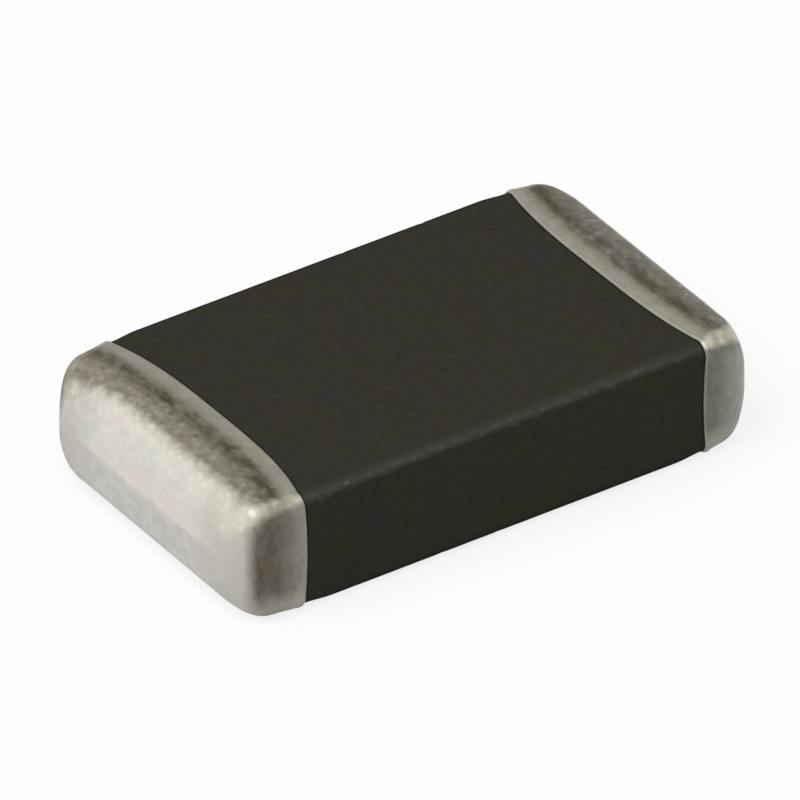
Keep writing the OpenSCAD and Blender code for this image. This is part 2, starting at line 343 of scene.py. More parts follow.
# %% Cut the coil's space out of the block
coil_cutter = bpy.data.objects.new("coil_cutter", nodes["coil_winding"].data.copy())
bpy.context.scene.collection.objects.link(coil_cutter)
coil_cutter.data.transform(Matrix.Scale(1 / MM, 4))
cutter = bmesh.new()
cutter.from_mesh(coil_cutter.data)
coil_merge_mm, lead_overrun, flush = 1e-5, 0.020, 1e-4
bmesh.ops.remove_doubles(cutter, verts=cutter.verts, dist=coil_merge_mm)
for vert in cutter.verts:
    if abs(vert.co.x) > block_x - flush:
        vert.co.x += math.copysign(lead_overrun, vert.co.x)
cutter.to_mesh(coil_cutter.data)
cutter.free()
cut = ferrite.modifiers.new("coil space", "BOOLEAN")
cut.operation, cut.solver, cut.object = "DIFFERENCE", "EXACT", coil_cutter
bake(ferrite)
bpy.data.objects.remove(coil_cutter)
print("faces of the block with the coil's space:", len(ferrite.data.polygons))

# %% [markdown]
# ## The skin of a cap
# Along the block, a cap has a thin lip, a crest, a thin place over the rounded end, and a full,
# slightly crowned end face. The tin is the outermost layer of it. It is a shell: one surface lies
# on the nickel, the other is the one that is seen, and they meet in the foot on the ferrite.
# Both come from one function, which is told how much plating lies on the silver.

# %% Stations of a cap, from the foot to the end face
LIP_STEPS, BAND_STEPS, ROUND_STEPS, FACE_STEPS = 6, 26, 26, 32


def lip_rings(cap, plating, steps):
    """The lip: a quarter round that rises from the ferrite at the foot."""
    rings = []
    for angle in np.radians(np.linspace(0, 90, steps + 1)):
        shift = plating * math.cos(angle) - silver_lip_run * (1 - math.cos(angle))
        height = (silver_lip_t + plating) * math.sin(angle)
        depth = band_depth(cap, 0) + shift
        rings.append(ring(cap, depth, block_y + height, block_z + height, block_foot_r + height))
    return rings


def crest_rings(cap, plating, steps):
    """The band: up to the crest, which is the plane the chip sits on, and down to the turn."""
    rings = []
    last_t = (silver_crest_t + silver_corner_t) / 2
    for part in np.linspace(0, 1, steps + 1)[1:-1]:
        rise = blend(0, 1, part / crest_start)
        fall = blend(0, 1, (part - crest_stop) / (1 - crest_stop))
        silver = silver_lip_t + rise * (silver_crest_t - silver_lip_t)
        height = silver + fall * (last_t - silver) + plating
        r = block_foot_r + part * (block_shoulder_r - block_foot_r)
        r += height + rise * silver_edge_extra
        depth = band_depth(cap, part) - silver_lip_run * (1 - rise)
        rings.append(ring(cap, depth, block_y + height, block_z + height, r))
    return rings


def silver_over_end(angle):
    """Thickness of the silver over the rounded end, thinnest half way round."""
    thin = math.sin(2 * angle)
    band_t = (silver_crest_t + silver_corner_t) / 2
    thick = band_t if angle < math.pi / 4 else silver_end_t
    return silver_corner_t * thin + thick * (1 - thin)


def rounding_rings(cap, plating, steps):
    """The turn from the band to the end face."""
    rings = []
    for angle in np.radians(np.linspace(0, 90, steps + 1)):
        drop = cap["end_drop"] * (1 - math.cos(angle))
        metal = silver_over_end(angle) + plating
        rise, out = metal * math.cos(angle), metal * math.sin(angle)
        r = end_r(cap, angle) + rise + silver_edge_extra * math.cos(angle)
        depth = cap["end_run"] * (1 - math.sin(angle)) - out
        rings.append(ring(cap, depth, block_y - drop + rise, block_z - drop + rise, r))
    return rings


def face_rings(cap, plating, steps):
    """The end face, smaller and smaller rings with a slight crown."""
    rings = []
    for share in np.linspace(1, 0, steps + 1)[1:-1]:
        crown = silver_end_crown * (1 - share ** 2)
        depth = -silver_end_t - crown - plating
        half_y = (block_y - cap["end_drop"]) * share
        half_z = (block_z - cap["end_drop"]) * share
        rings.append(ring(cap, depth, half_y, half_z, cap["corner_r"] * share))
    return rings


def cap_rings(cap, plating, coarser=1):
    return (
        lip_rings(cap, plating, LIP_STEPS)
        + crest_rings(cap, plating, BAND_STEPS // coarser)
        + rounding_rings(cap, plating, ROUND_STEPS // coarser)
        + face_rings(cap, plating, FACE_STEPS // coarser)
    )


print("rings over the outside of a cap:", len(cap_rings(LEFT, plating_t)))

# %% [markdown]
# Each point of the outer surface also remembers where on the cap it lies: its distance from the
# foot along the surface, how far round the end it is (0 on the band, 1 on the end face), whether
# it belongs to a wide or a narrow side, and how near it is to the middle of a long edge. The dull
# and bright zones of the finish are painted with these values, so they bow with the cap's edge and
# turn with its corners.

# %% Build the two tin skins
INNER_COARSER = 3


def cap_values(outer, inner_count):
    """Where on the cap each point lies. The inner surface has zeros, because it never shows."""
    steps = np.linalg.norm(np.diff(np.array(outer), axis=0), axis=2)
    travelled = np.vstack([np.zeros(AROUND), np.cumsum(steps, axis=0)])
    before = LIP_STEPS + BAND_STEPS
    after = len(outer) - before
    way = np.concatenate([np.zeros(before), np.arange(after) / ROUND_STEPS])
    hidden = [np.zeros(AROUND)] * inner_count
    return {
        "from_foot": hidden + list(travelled),
        "round_end": hidden + [np.full(AROUND, w) for w in np.minimum(way, 2.0)],
        "narrow_side": hidden + [step_y ** 2] * len(outer),
        "long_edge": hidden + [2 * np.abs(step_y * step_z)] * len(outer),
        "outside": hidden + [np.ones(AROUND)] * len(outer),
    }


def tin_skin(name, cap):
    inner = cap_rings(cap, nickel_t, INNER_COARSER)[::-1]
    outer = cap_rings(cap, plating_t)
    for rings in (inner, outer):
        for points in rings:
            np.clip(points, chip_low, chip_high, out=points)
    face = block_x + silver_end_t + silver_end_crown
    inner_apex = block_middle + [cap["side"] * (face + nickel_t), 0, 0]
    outer_apex = block_middle + [cap["side"] * (face + plating_t), 0, 0]
    return skin(name, inner + outer, inner_apex, outer_apex, cap_values(outer, len(inner)))


left_tin = tin_skin("left_tin_plating", LEFT)
right_tin = tin_skin("right_tin_plating", RIGHT)

# %% [markdown]
# ## Geometry Nodes: a tree with named inputs
# A node tree is a recipe that other pieces can reuse. Its inputs have names and real units, and a
# modifier that uses the tree sets them by each socket's identifier. The helpers below make an empty
# tree with its inputs, and add nodes to it and link them, so the trees themselves stay short.

# %% Helpers for node trees
def new_tree(kind, name, inputs, outputs):
    """An empty tree with its group input and output nodes. Inputs are (name, type, value)."""
    tree = bpy.data.node_groups.new(name, kind)
    for label, socket_type, value in inputs:
        socket = tree.interface.new_socket(label, in_out="INPUT", socket_type=socket_type)
        if value is not None:
            socket.default_value = value
    for label, socket_type in outputs:
        tree.interface.new_socket(label, in_out="OUTPUT", socket_type=socket_type)
    return tree, tree.nodes.new("NodeGroupInput"), tree.nodes.new("NodeGroupOutput")


def add(tree, kind, links=None, **settings):
    """A node with its settings, and with its inputs linked or given plain values."""
    node = tree.nodes.new(kind)
    for key, value in settings.items():
        setattr(node, key, value)
    for key, value in (links or {}).items():
        if isinstance(value, bpy.types.NodeSocket):
            tree.links.new(value, node.inputs[key])
        else:
            node.inputs[key].default_value = value
    return node


def maths(tree, operation, *values, clamp=False):
    links = dict(enumerate(values))
    return add(tree, "ShaderNodeMath", links, operation=operation, use_clamp=clamp).outputs[0]


def vector_maths(tree, operation, *values):
    node = add(tree, "ShaderNodeVectorMath", dict(enumerate(values)), operation=operation)
    return node.outputs[0]


def named_value(tree, label):
    """A float that the mesh carries, inside Geometry Nodes."""
    return add(tree, "GeometryNodeInputNamedAttribute", {"Name": label}, data_type="FLOAT").outputs[0]


def faded(tree, value, start, stop, at_start=0.0, at_stop=1.0, kind="LINEAR"):
    """Goes from one height to another while the value goes from start to stop."""
    stops = {"From Min": start, "From Max": stop, "To Min": at_start, "To Max": at_stop}
    node = add(tree, "ShaderNodeMapRange", {"Value": value, **stops}, interpolation_type=kind)
    return node.outputs[0]


# %% [markdown]
# ## Pebbles
# Seen close, matt tin is a bed of rounded pebbles that run into each other. A Voronoi texture draws
# cells of one size, its smooth kind melts them together, and a little noise added to the place
# bends their outlines. Both the relief and the paint use this pattern, so one helper makes it.

# %% Helper that draws pebbles
WARP_SHARE = 0.8


def pebble_pattern(tree, place, size):
    """A dome, 1 on the tops of the pebbles and 0 between them, and a colour of its own for each."""
    warp_noise = add(
        tree, "ShaderNodeTexNoise",
        {"Vector": place, "Scale": maths(tree, "DIVIDE", WARP_SHARE, size), "Detail": 1.0},
    )
    shift = vector_maths(tree, "SUBTRACT", warp_noise.outputs["Color"], (0.5, 0.5, 0.5))
    warped = add(
        tree, "ShaderNodeVectorMath",
        {0: shift, 1: maths(tree, "MULTIPLY", size, WARP_SHARE), 2: place},
        operation="MULTIPLY_ADD",
    ).outputs[0]
    cells = add(
        tree, "ShaderNodeTexVoronoi",
        {"Vector": warped, "Scale": maths(tree, "DIVIDE", 1.0, size), "Smoothness": 0.6},
        feature="SMOOTH_F1",
    )
    dome = faded(tree, cells.outputs["Distance"], 0.62, 0.12, kind="SMOOTHSTEP")
    return dome, cells.outputs["Color"]


# %% [markdown]
# ## From a tree to a piece
# A modifier runs a tree on a piece. It keeps each input under the socket's identifier, which stays
# the same when an input is renamed, so the helper looks the identifiers up by the inputs' names.

# %% Helper that puts a tree on a piece
def use_tree(piece, tree, values):
    """Adds the tree to the piece and sets its inputs by their identifiers."""
    modifier = piece.modifiers.new(tree.name, "NODES")
    modifier.node_group = tree
    for item in tree.interface.items_tree:
        if item.item_type == "SOCKET" and item.in_out == "INPUT" and item.name in values:
            modifier[item.identifier] = values[item.name]
    return modifier


# %% [markdown]
# ## Matt tin as a rule
# Matt tin grows as a felt of tiny crystals that bunch into pebbles, with coarse nodules standing
# out of it where the current crowds on the rounded edges. That is a rule, so a tree makes it: a
# seeded noise swells the skin along its normal, a smooth Voronoi pattern sinks the hollows between
# the pebbles, nodules are scattered over the outside, and the last step keeps every point inside
# the chip's size. Sculpting would take hours and couldn't be redone.

# %% Tin tree: its inputs
tin_tree, tin_in, tin_out = new_tree(
    "GeometryNodeTree",
    "matt tin growth",
    [
        ("Geometry", "NodeSocketGeometry", None),
        ("Swell height", "NodeSocketFloat", 0.0),
        ("Swell size", "NodeSocketFloat", 0.0),
        ("Pebble depth", "NodeSocketFloat", 0.0),
        ("Pebble size", "NodeSocketFloat", 0.0),
        ("Grains per area", "NodeSocketFloat", 0.0),
        ("Least grain", "NodeSocketFloat", 0.0),
        ("Largest grain", "NodeSocketFloat", 0.0),
        ("Seed", "NodeSocketInt", 0),
        ("Lowest corner", "NodeSocketVector", None),
        ("Highest corner", "NodeSocketVector", None),
        ("Finish", "NodeSocketMaterial", None),
    ],
    [("Geometry", "NodeSocketGeometry")],
)
print("inputs of the tin tree:", [socket.name for socket in tin_in.outputs if socket.name])

# %% [markdown]
# The relief comes first. A slow swell and the hollows between the pebbles are added up, and the
# skin is moved by the sum along its normal. Masks keep the relief off the foot, which has to meet
# the ferrite cleanly, and off the inner surface, which lies on the nickel.

# %% Tin tree: swell and pebbles
def tree_noise(tree, size, seed):
    """Noise of -1 to 1 whose features have a real size."""
    place = add(tree, "GeometryNodeInputPosition").outputs[0]
    scale = maths(tree, "DIVIDE", 1.0, size)
    node = add(
        tree,
        "ShaderNodeTexNoise",
        {"Vector": place, "W": seed, "Scale": scale, "Detail": 2.0},
        noise_dimensions="4D",
    )
    return maths(tree, "MULTIPLY_ADD", node.outputs[0], 2.0, -1.0)


outside = named_value(tin_tree, "outside")
from_foot = named_value(tin_tree, "from_foot")
round_end = named_value(tin_tree, "round_end")
clear_of_foot = faded(tin_tree, from_foot, 0.004, 0.020, kind="SMOOTHSTEP")
swell = maths(
    tin_tree, "MULTIPLY",
    tree_noise(tin_tree, tin_in.outputs["Swell size"], tin_in.outputs["Seed"]),
    tin_in.outputs["Swell height"],
)
pebble_dome, _ = pebble_pattern(
    tin_tree,
    add(tin_tree, "GeometryNodeInputPosition").outputs[0],
    tin_in.outputs["Pebble size"],
)
joint_depth = maths(tin_tree, "SUBTRACT", pebble_dome, 1.0)
# the pebbles stop short of the pale strip at the foot, and are lower on the end face
pebbled = maths(
    tin_tree, "MULTIPLY",
    faded(tin_tree, from_foot, 0.040, 0.080),
    faded(tin_tree, round_end, 0.7, 1.1, 1.0, 0.3),
)
felt = maths(tin_tree, "MULTIPLY", joint_depth, tin_in.outputs["Pebble depth"])
felt = maths(tin_tree, "MULTIPLY", felt, pebbled)
lift = maths(tin_tree, "MULTIPLY", maths(tin_tree, "ADD", swell, felt), clear_of_foot)
lift = maths(tin_tree, "MULTIPLY", lift, outside)
normal = add(tin_tree, "GeometryNodeInputNormal").outputs[0]
push = add(tin_tree, "ShaderNodeVectorMath", {0: normal, "Scale": lift}, operation="SCALE").outputs[0]
grown = add(
    tin_tree, "GeometryNodeSetPosition",
    {"Geometry": tin_in.outputs["Geometry"], "Offset": push},
).outputs[0]
print("nodes after the relief:", len(tin_tree.nodes))

# %% [markdown]
# Then the nodules. Points are scattered over the outside with a density that peaks where the skin
# turns the end, and a flattened ball is set on each. An instance is only a reference, so the balls
# are realized and joined to the skin, and the last nodes keep every point inside the chip's box.

# %% Tin tree: nodules
# length, width and height of a nodule, as shares of its size
NODULE_FORM = (1.0, 0.8, 0.30)
# the density rises from 0.05 to 0.45 of the way round the end, and falls again from 0.75 to 1.1
crowding = maths(
    tin_tree, "MULTIPLY",
    faded(tin_tree, round_end, 0.05, 0.45, 0.02, 1.0),
    faded(tin_tree, round_end, 0.75, 1.1, 1.0, 0.08),
)
off_sides = maths(tin_tree, "SUBTRACT", 1.0, named_value(tin_tree, "narrow_side"), clamp=True)
crowding = maths(tin_tree, "MULTIPLY", crowding, off_sides)
density = maths(tin_tree, "MULTIPLY", crowding, tin_in.outputs["Grains per area"])
density = maths(tin_tree, "MULTIPLY", density, maths(tin_tree, "MULTIPLY", outside, clear_of_foot))
seats = add(
    tin_tree,
    "GeometryNodeDistributePointsOnFaces",
    {"Mesh": grown, "Density": density, "Seed": tin_in.outputs["Seed"]},
    distribute_method="RANDOM",
)
grain = add(tin_tree, "GeometryNodeMeshIcoSphere", {"Radius": 1.0, "Subdivisions": 2}).outputs[0]
# a random value of the float kind has its least and largest value at inputs 2 and 3
grain_size = add(
    tin_tree,
    "FunctionNodeRandomValue",
    {
        2: tin_in.outputs["Least grain"],
        3: tin_in.outputs["Largest grain"],
        "Seed": tin_in.outputs["Seed"],
    },
    data_type="FLOAT",
)
flatness = add(tin_tree, "ShaderNodeCombineXYZ", dict(enumerate(NODULE_FORM))).outputs[0]
grain_scale = add(
    tin_tree, "ShaderNodeVectorMath",
    {0: flatness, "Scale": grain_size.outputs[1]}, operation="SCALE",
).outputs[0]
grains = add(
    tin_tree,
    "GeometryNodeInstanceOnPoints",
    {
        "Points": seats.outputs["Points"],
        "Instance": grain,
        "Rotation": seats.outputs["Rotation"],
        "Scale": grain_scale,
    },
).outputs[0]
marked = add(
    tin_tree,
    "GeometryNodeStoreNamedAttribute",
    {"Geometry": grains, "Name": "grain", "Value": 1.0},
    data_type="FLOAT",
    domain="INSTANCE",
).outputs[0]
real_grains = add(tin_tree, "GeometryNodeRealizeInstances", {"Geometry": marked}).outputs[0]
joined = add(tin_tree, "GeometryNodeJoinGeometry")
tin_tree.links.new(real_grains, joined.inputs[0])
tin_tree.links.new(grown, joined.inputs[0])
print("nodes after the nodules:", len(tin_tree.nodes))

# %% Tin tree: keep it in the chip's box and finish it
inside_box = vector_maths(
    tin_tree, "MINIMUM",
    vector_maths(
        tin_tree, "MAXIMUM",
        add(tin_tree, "GeometryNodeInputPosition").outputs[0],
        tin_in.outputs["Lowest corner"],
    ),
    tin_in.outputs["Highest corner"],
)
kept = add(
    tin_tree, "GeometryNodeSetPosition",
    {"Geometry": joined.outputs[0], "Position": inside_box},
).outputs[0]
real = add(tin_tree, "GeometryNodeRealizeInstances", {"Geometry": kept}).outputs[0]
finished = add(
    tin_tree, "GeometryNodeSetMaterial",
    {"Geometry": real, "Material": tin_in.outputs["Finish"]},
).outputs[0]
tin_tree.links.new(finished, tin_out.inputs[0])
print("nodes in the tin tree:", len(tin_tree.nodes))

# %% [markdown]
# ## Worn ferrite as a rule
# Tumbling rounds the block's long edges and knocks tiny chips out of them. The second tree
# scatters seeded chip centres along those edges only, and pushes the skin in near each centre.
# It also gives the pressed faces a very shallow waviness. Near the caps both fade out, so that
# the foot of the plating still sits on the ferrite.

# %% Ferrite tree: its inputs and where it may work
ferrite_tree, ferrite_in, ferrite_out = new_tree(
    "GeometryNodeTree",
    "tumbled ferrite",
    [
        ("Geometry", "NodeSocketGeometry", None),
        ("Wave height", "NodeSocketFloat", 0.0),
        ("Wave size", "NodeSocketFloat", 0.0),
        ("Chips per area", "NodeSocketFloat", 0.0),
        ("Chip radius", "NodeSocketFloat", 0.0),
        ("Chip depth", "NodeSocketFloat", 0.0),
        ("Seed", "NodeSocketInt", 0),
        ("Finish", "NodeSocketMaterial", None),
    ],
    [("Geometry", "NodeSocketGeometry")],
)
from_cap = named_value(ferrite_tree, "from_cap")
over_edge_value = named_value(ferrite_tree, "over_edge")
edge_wear_and_light = named_value(ferrite_tree, "edge_wear_and_light")
bare = faded(ferrite_tree, from_cap, 0.004, 0.030, kind="SMOOTHSTEP")
off_edge = maths(ferrite_tree, "ABSOLUTE", over_edge_value)
on_edge = faded(ferrite_tree, off_edge, 0.010, 0.030, 1.0, 0.0)
on_edge = maths(ferrite_tree, "MULTIPLY", on_edge, edge_wear_and_light)
print("inputs of the ferrite tree:", [socket.name for socket in ferrite_in.outputs if socket.name])

# %% Ferrite tree: chips and waviness
chip_density = maths(ferrite_tree, "MULTIPLY", on_edge, ferrite_in.outputs["Chips per area"])
chip_density = maths(ferrite_tree, "MULTIPLY", chip_density, bare)
chips = add(
    ferrite_tree,
    "GeometryNodeDistributePointsOnFaces",
    {
        "Mesh": ferrite_in.outputs["Geometry"],
        "Density": chip_density,
        "Seed": ferrite_in.outputs["Seed"],
    },
    distribute_method="RANDOM",
).outputs["Points"]
nearest = add(
    ferrite_tree, "GeometryNodeProximity", {"Target": chips}, target_element="POINTS",
).outputs["Distance"]
chip_shape = faded(
    ferrite_tree, nearest, 0.0, ferrite_in.outputs["Chip radius"], 1.0, 0.0, kind="SMOOTHSTEP",
)
chip_mask = maths(ferrite_tree, "MULTIPLY", chip_shape, bare)
sunk = maths(ferrite_tree, "MULTIPLY", chip_mask, ferrite_in.outputs["Chip depth"])
wave = tree_noise(ferrite_tree, ferrite_in.outputs["Wave size"], ferrite_in.outputs["Seed"])
wave = maths(ferrite_tree, "MULTIPLY_ADD", wave, 0.5, 0.5)
wave = maths(ferrite_tree, "MULTIPLY", wave, ferrite_in.outputs["Wave height"])
wave = maths(ferrite_tree, "MULTIPLY", wave, bare)
inwards = maths(ferrite_tree, "MULTIPLY", maths(ferrite_tree, "ADD", sunk, wave), -1.0)
ferrite_push = add(
    ferrite_tree, "ShaderNodeVectorMath",
    {0: add(ferrite_tree, "GeometryNodeInputNormal").outputs[0], "Scale": inwards},
    operation="SCALE",
).outputs[0]
worn = add(
    ferrite_tree, "GeometryNodeSetPosition",
    {"Geometry": ferrite_in.outputs["Geometry"], "Offset": ferrite_push},
).outputs[0]
remembered = add(
    ferrite_tree,
    "GeometryNodeStoreNamedAttribute",
    {"Geometry": worn, "Name": "chip", "Value": chip_mask},
    data_type="FLOAT",
    domain="POINT",
).outputs[0]
real = add(ferrite_tree, "GeometryNodeRealizeInstances", {"Geometry": remembered}).outputs[0]
finished = add(
    ferrite_tree, "GeometryNodeSetMaterial",
    {"Geometry": real, "Material": ferrite_in.outputs["Finish"]},
).outputs[0]
ferrite_tree.links.new(finished, ferrite_out.inputs[0])
print("nodes in the ferrite tree:", len(ferrite_tree.nodes))

# %% [markdown]
# ## Shader groups that the finishes share
# Ferrite, silver, nickel and tin all need cloudy tones, a fine grain, specks or pebbles. Each
# effect is one node group with named inputs, built once and placed in each material with its own
# values. The pebbles repeat the pattern that the tin tree sinks into the skin, so the paint and
# the relief agree.
# A group puts out only masks, values and normals: the shader itself stays in the material, where
# Blender's exporter can read it. All of them work on Object coordinates turned into millimetres,
# so every feature size below is a real one.

# %% [markdown]
# Clouds are a noise that is compared with a level. The mask is 1 well above the level and 0 well
# below it, and the softness is the width of the change between them.

# %% Group: cloudy tones
clouds, group_in, group_out = new_tree(
    "ShaderNodeTree",
    "cloudy tones",
    [
        ("Place", "NodeSocketVector", None),
        ("Cloud size", "NodeSocketFloat", 0.1),
        ("Softness", "NodeSocketFloat", 0.2),
        ("Level", "NodeSocketFloat", 0.5),
        ("Seed", "NodeSocketFloat", 0.0),
    ],
    [("Mask", "NodeSocketFloat")],
)
cloud_noise = add(
    clouds,
    "ShaderNodeTexNoise",
    {
        "Vector": group_in.outputs["Place"],
        "W": group_in.outputs["Seed"],
        "Scale": maths(clouds, "DIVIDE", 1.0, group_in.outputs["Cloud size"]),
        "Detail": 4.0,
        "Roughness": 0.55,
    },
    noise_dimensions="4D",
).outputs[0]
above = maths(clouds, "SUBTRACT", cloud_noise, group_in.outputs["Level"])
spread = maths(clouds, "DIVIDE", above, group_in.outputs["Softness"])
cloud_mask = maths(clouds, "ADD", spread, 0.5, clamp=True)
clouds.links.new(cloud_mask, group_out.inputs["Mask"])
print(clouds.name, "has", len(clouds.nodes), "nodes")

# %% [markdown]
# Grain is the same kind of noise at the size of single crystals. It also feeds a Bump node, so the
# surface breaks up the light without a point of real relief.

# %% Group: fine grain
fine_grain, group_in, group_out = new_tree(
    "ShaderNodeTree",
    "fine grain",
    [
        ("Place", "NodeSocketVector", None),
        ("Grain size", "NodeSocketFloat", 0.006),
        ("Bump height", "NodeSocketFloat", 0.000001),
        ("Strength", "NodeSocketFloat", 0.5),
        ("Seed", "NodeSocketFloat", 0.0),
    ],
    [("Grain", "NodeSocketFloat"), ("Normal", "NodeSocketVector")],
)
grain_noise = add(
    fine_grain,
    "ShaderNodeTexNoise",
    {
        "Vector": group_in.outputs["Place"],
        "W": group_in.outputs["Seed"],
        "Scale": maths(fine_grain, "DIVIDE", 1.0, group_in.outputs["Grain size"]),
        "Detail": 3.0,
        "Roughness": 0.6,
    },
    noise_dimensions="4D",
).outputs[0]
grain_bump = add(
    fine_grain,
    "ShaderNodeBump",
    {
        "Strength": group_in.outputs["Strength"],
        "Distance": group_in.outputs["Bump height"],
        "Height": grain_noise,
    },
)
fine_grain.links.new(grain_noise, group_out.inputs["Grain"])
fine_grain.links.new(grain_bump.outputs[0], group_out.inputs["Normal"])
print(fine_grain.name, "has", len(fine_grain.nodes), "nodes")

# %% [markdown]
# Specks sit in the cells of a Voronoi texture, and the random colour of a cell decides whether it
# has one. A speck is full in its middle and fades to its rim, which a little noise makes ragged.

# %% Group: specks
specks, group_in, group_out = new_tree(
    "ShaderNodeTree",
    "specks",
    [
        ("Place", "NodeSocketVector", None),
        ("Spacing", "NodeSocketFloat", 0.02),
        ("Speck size", "NodeSocketFloat", 0.005),
        ("Share", "NodeSocketFloat", 0.3),
    ],
    [("Mask", "NodeSocketFloat")],
)
ragged_noise = add(
    specks, "ShaderNodeTexNoise",
    {
        "Vector": group_in.outputs["Place"],
        "Scale": maths(specks, "DIVIDE", 1.0, group_in.outputs["Speck size"]),
        "Detail": 1.0,
    },
)
ragged_place = add(
    specks, "ShaderNodeVectorMath",
    {
        0: vector_maths(specks, "SUBTRACT", ragged_noise.outputs["Color"], (0.5, 0.5, 0.5)),
        1: group_in.outputs["Speck size"],
        2: group_in.outputs["Place"],
    },
    operation="MULTIPLY_ADD",
).outputs[0]
cells = add(
    specks,
    "ShaderNodeTexVoronoi",
    {
        "Vector": ragged_place,
        "Scale": maths(specks, "DIVIDE", 1.0, group_in.outputs["Spacing"]),
    },
)
chosen = maths(
    specks, "LESS_THAN",
    add(specks, "ShaderNodeSeparateColor", {0: cells.outputs["Color"]}).outputs[0],
    group_in.outputs["Share"],
)
speck_reach = maths(specks, "DIVIDE", group_in.outputs["Speck size"], group_in.outputs["Spacing"])
way_out = maths(specks, "DIVIDE", cells.outputs["Distance"], speck_reach)
speck_mask = maths(specks, "MULTIPLY", maths(specks, "SUBTRACT", 1.0, way_out, clamp=True), chosen)
specks.links.new(maths(specks, "POWER", speck_mask, 0.5), group_out.inputs["Mask"])
print(specks.name, "has", len(specks.nodes), "nodes")

# %% [markdown]
# The pebbles come from the helper that the tin tree used. One number of the cell's random colour
# gives each pebble a tone of its own, by which the finish picks out the pale ones.

# %% Group: pebbles
PEBBLE_MM = 0.031
pebbles, group_in, group_out = new_tree(
    "ShaderNodeTree",
    "pebbles",
    [
        ("Place", "NodeSocketVector", None),
        ("Pebble size", "NodeSocketFloat", PEBBLE_MM),
    ],
    [("Mask", "NodeSocketFloat"), ("Tone", "NodeSocketFloat")],
)
dome, cell_colour = pebble_pattern(
    pebbles, group_in.outputs["Place"], group_in.outputs["Pebble size"],
)
pebbles.links.new(dome, group_out.inputs["Mask"])
pebble_tone = add(pebbles, "ShaderNodeSeparateColor", {0: cell_colour}).outputs[0]
pebbles.links.new(pebble_tone, group_out.inputs["Tone"])
print(pebbles.name, "has", len(pebbles.nodes), "nodes")

# %% [markdown]
# ## Helpers for the finishes
# A colour is written as the three numbers a picture editor shows, 0 to 255, and turned into the
# linear values that Blender works with. The other helpers place a group, mix a colour over
# another by a mask, and shape a mask from a value that the mesh carries.

# %% Colour and mixing helpers
def paint(red, green, blue):
    """A picture editor's colour as linear red, green and blue, and a full alpha."""
    linear = []
    for value in (red, green, blue):
        share = value / 255
        linear.append(share / 12.92 if value <= 10 else ((share + 0.055) / 1.055) ** 2.4)
    return (*linear, 1.0)


def new_material(name):
    """A material with its tree, its Principled shader and the place on the piece in millimetres."""
    material = bpy.data.materials.new(name)
    material.use_nodes = True
    tree = material.node_tree
    tree.nodes.clear()
    surface = tree.nodes.new("ShaderNodeBsdfPrincipled")
    output = tree.nodes.new("ShaderNodeOutputMaterial")
    tree.links.new(surface.outputs[0], output.inputs["Surface"])
    coordinates = tree.nodes.new("ShaderNodeTexCoord").outputs["Object"]
    place = add(
        tree, "ShaderNodeVectorMath", {0: coordinates, "Scale": 1 / MM}, operation="SCALE",
    ).outputs[0]
    return material, tree, surface, place


def group(tree, shared, **values):
    """A shared group placed in a material. cloud_size=0.1 sets the input named Cloud size."""
    inputs = {label.replace("_", " ").capitalize(): value for label, value in values.items()}
    return add(tree, "ShaderNodeGroup", inputs, node_tree=shared)


def carried(tree, label):
    """A float that the mesh carries, inside a material."""
    return add(tree, "ShaderNodeAttribute", attribute_name=label).outputs["Fac"]


def ramp(tree, value, *stops):
    """A mask of straight lines through (position, height) stops, read from a value."""
    node = tree.nodes.new("ShaderNodeFloatCurve")
    first, last = stops[0][0], stops[-1][0]
    tree.links.new(faded(tree, value, first, last), node.inputs["Value"])
    curve = node.mapping.curves[0]
    places = [((p - first) / (last - first), h) for p, h in stops]
    curve.points[0].location = places[0]
    curve.points[1].location = places[-1]
    for spot in places[1:-1]:
        curve.points.new(*spot)
    for point in curve.points:
        point.handle_type = "VECTOR"
    node.mapping.update()
    return node.outputs[0]


def over(tree, base, colour, mask):
    """The colour laid over the base where the mask is 1."""
    # a colour mix has its two colours at inputs 6 and 7, its factor at 0 and its result at output 2
    mix = add(tree, "ShaderNodeMix", {6: base, 7: colour, 0: mask}, data_type="RGBA")
    return mix.outputs[2]


# %% [markdown]
# ## Sintered ferrite
# Fired nickel-zinc ferrite is a matt, near-black ceramic. It is never one flat black: the pressed
# sheets fire a little unevenly, which leaves faint olive and brown clouds. The upper front edge is
# painted paler, partly as wear from tumbling and partly as a painted highlight, and a thin painted
# shade lies along the caps.

# %% Ferrite material: clouds and grit
ferrite_finish, tree, surface, place = new_material("sintered ferrite")
surface.inputs["Specular IOR Level"].default_value = 0.05


def cloud(tree, place, size, softness, level, seed, strength=1.0):
    """A cloudy mask of one strength."""
    mask = group(
        tree, clouds, place=place, cloud_size=size, softness=softness, level=level, seed=seed,
    ).outputs["Mask"]
    return mask if strength == 1.0 else maths(tree, "MULTIPLY", mask, strength)


tone = over(tree, paint(53, 51, 47), paint(54, 54, 39), cloud(tree, place, 0.15, 0.22, 0.50, 3.0))
tone = over(tree, tone, paint(58, 49, 44), cloud(tree, place, 0.10, 0.16, 0.57, 11.0, 0.65))
tone = over(tree, tone, paint(51, 50, 53), cloud(tree, place, 0.12, 0.16, 0.58, 17.0, 0.50))
tone = over(tree, tone, paint(44, 43, 37), cloud(tree, place, 0.028, 0.24, 0.54, 7.0, 0.55))
grit = group(
    tree, fine_grain, place=place, grain_size=0.009, bump_height=0.0000010, strength=0.45, seed=5.0,
)
tone = over(
    tree, tone, paint(62, 61, 54), ramp(tree, grit.outputs["Grain"], (0.50, 0.0), (0.78, 0.55)),
)
print(ferrite_finish.name, "has", len(tree.nodes), "nodes after the clouds and the grit")
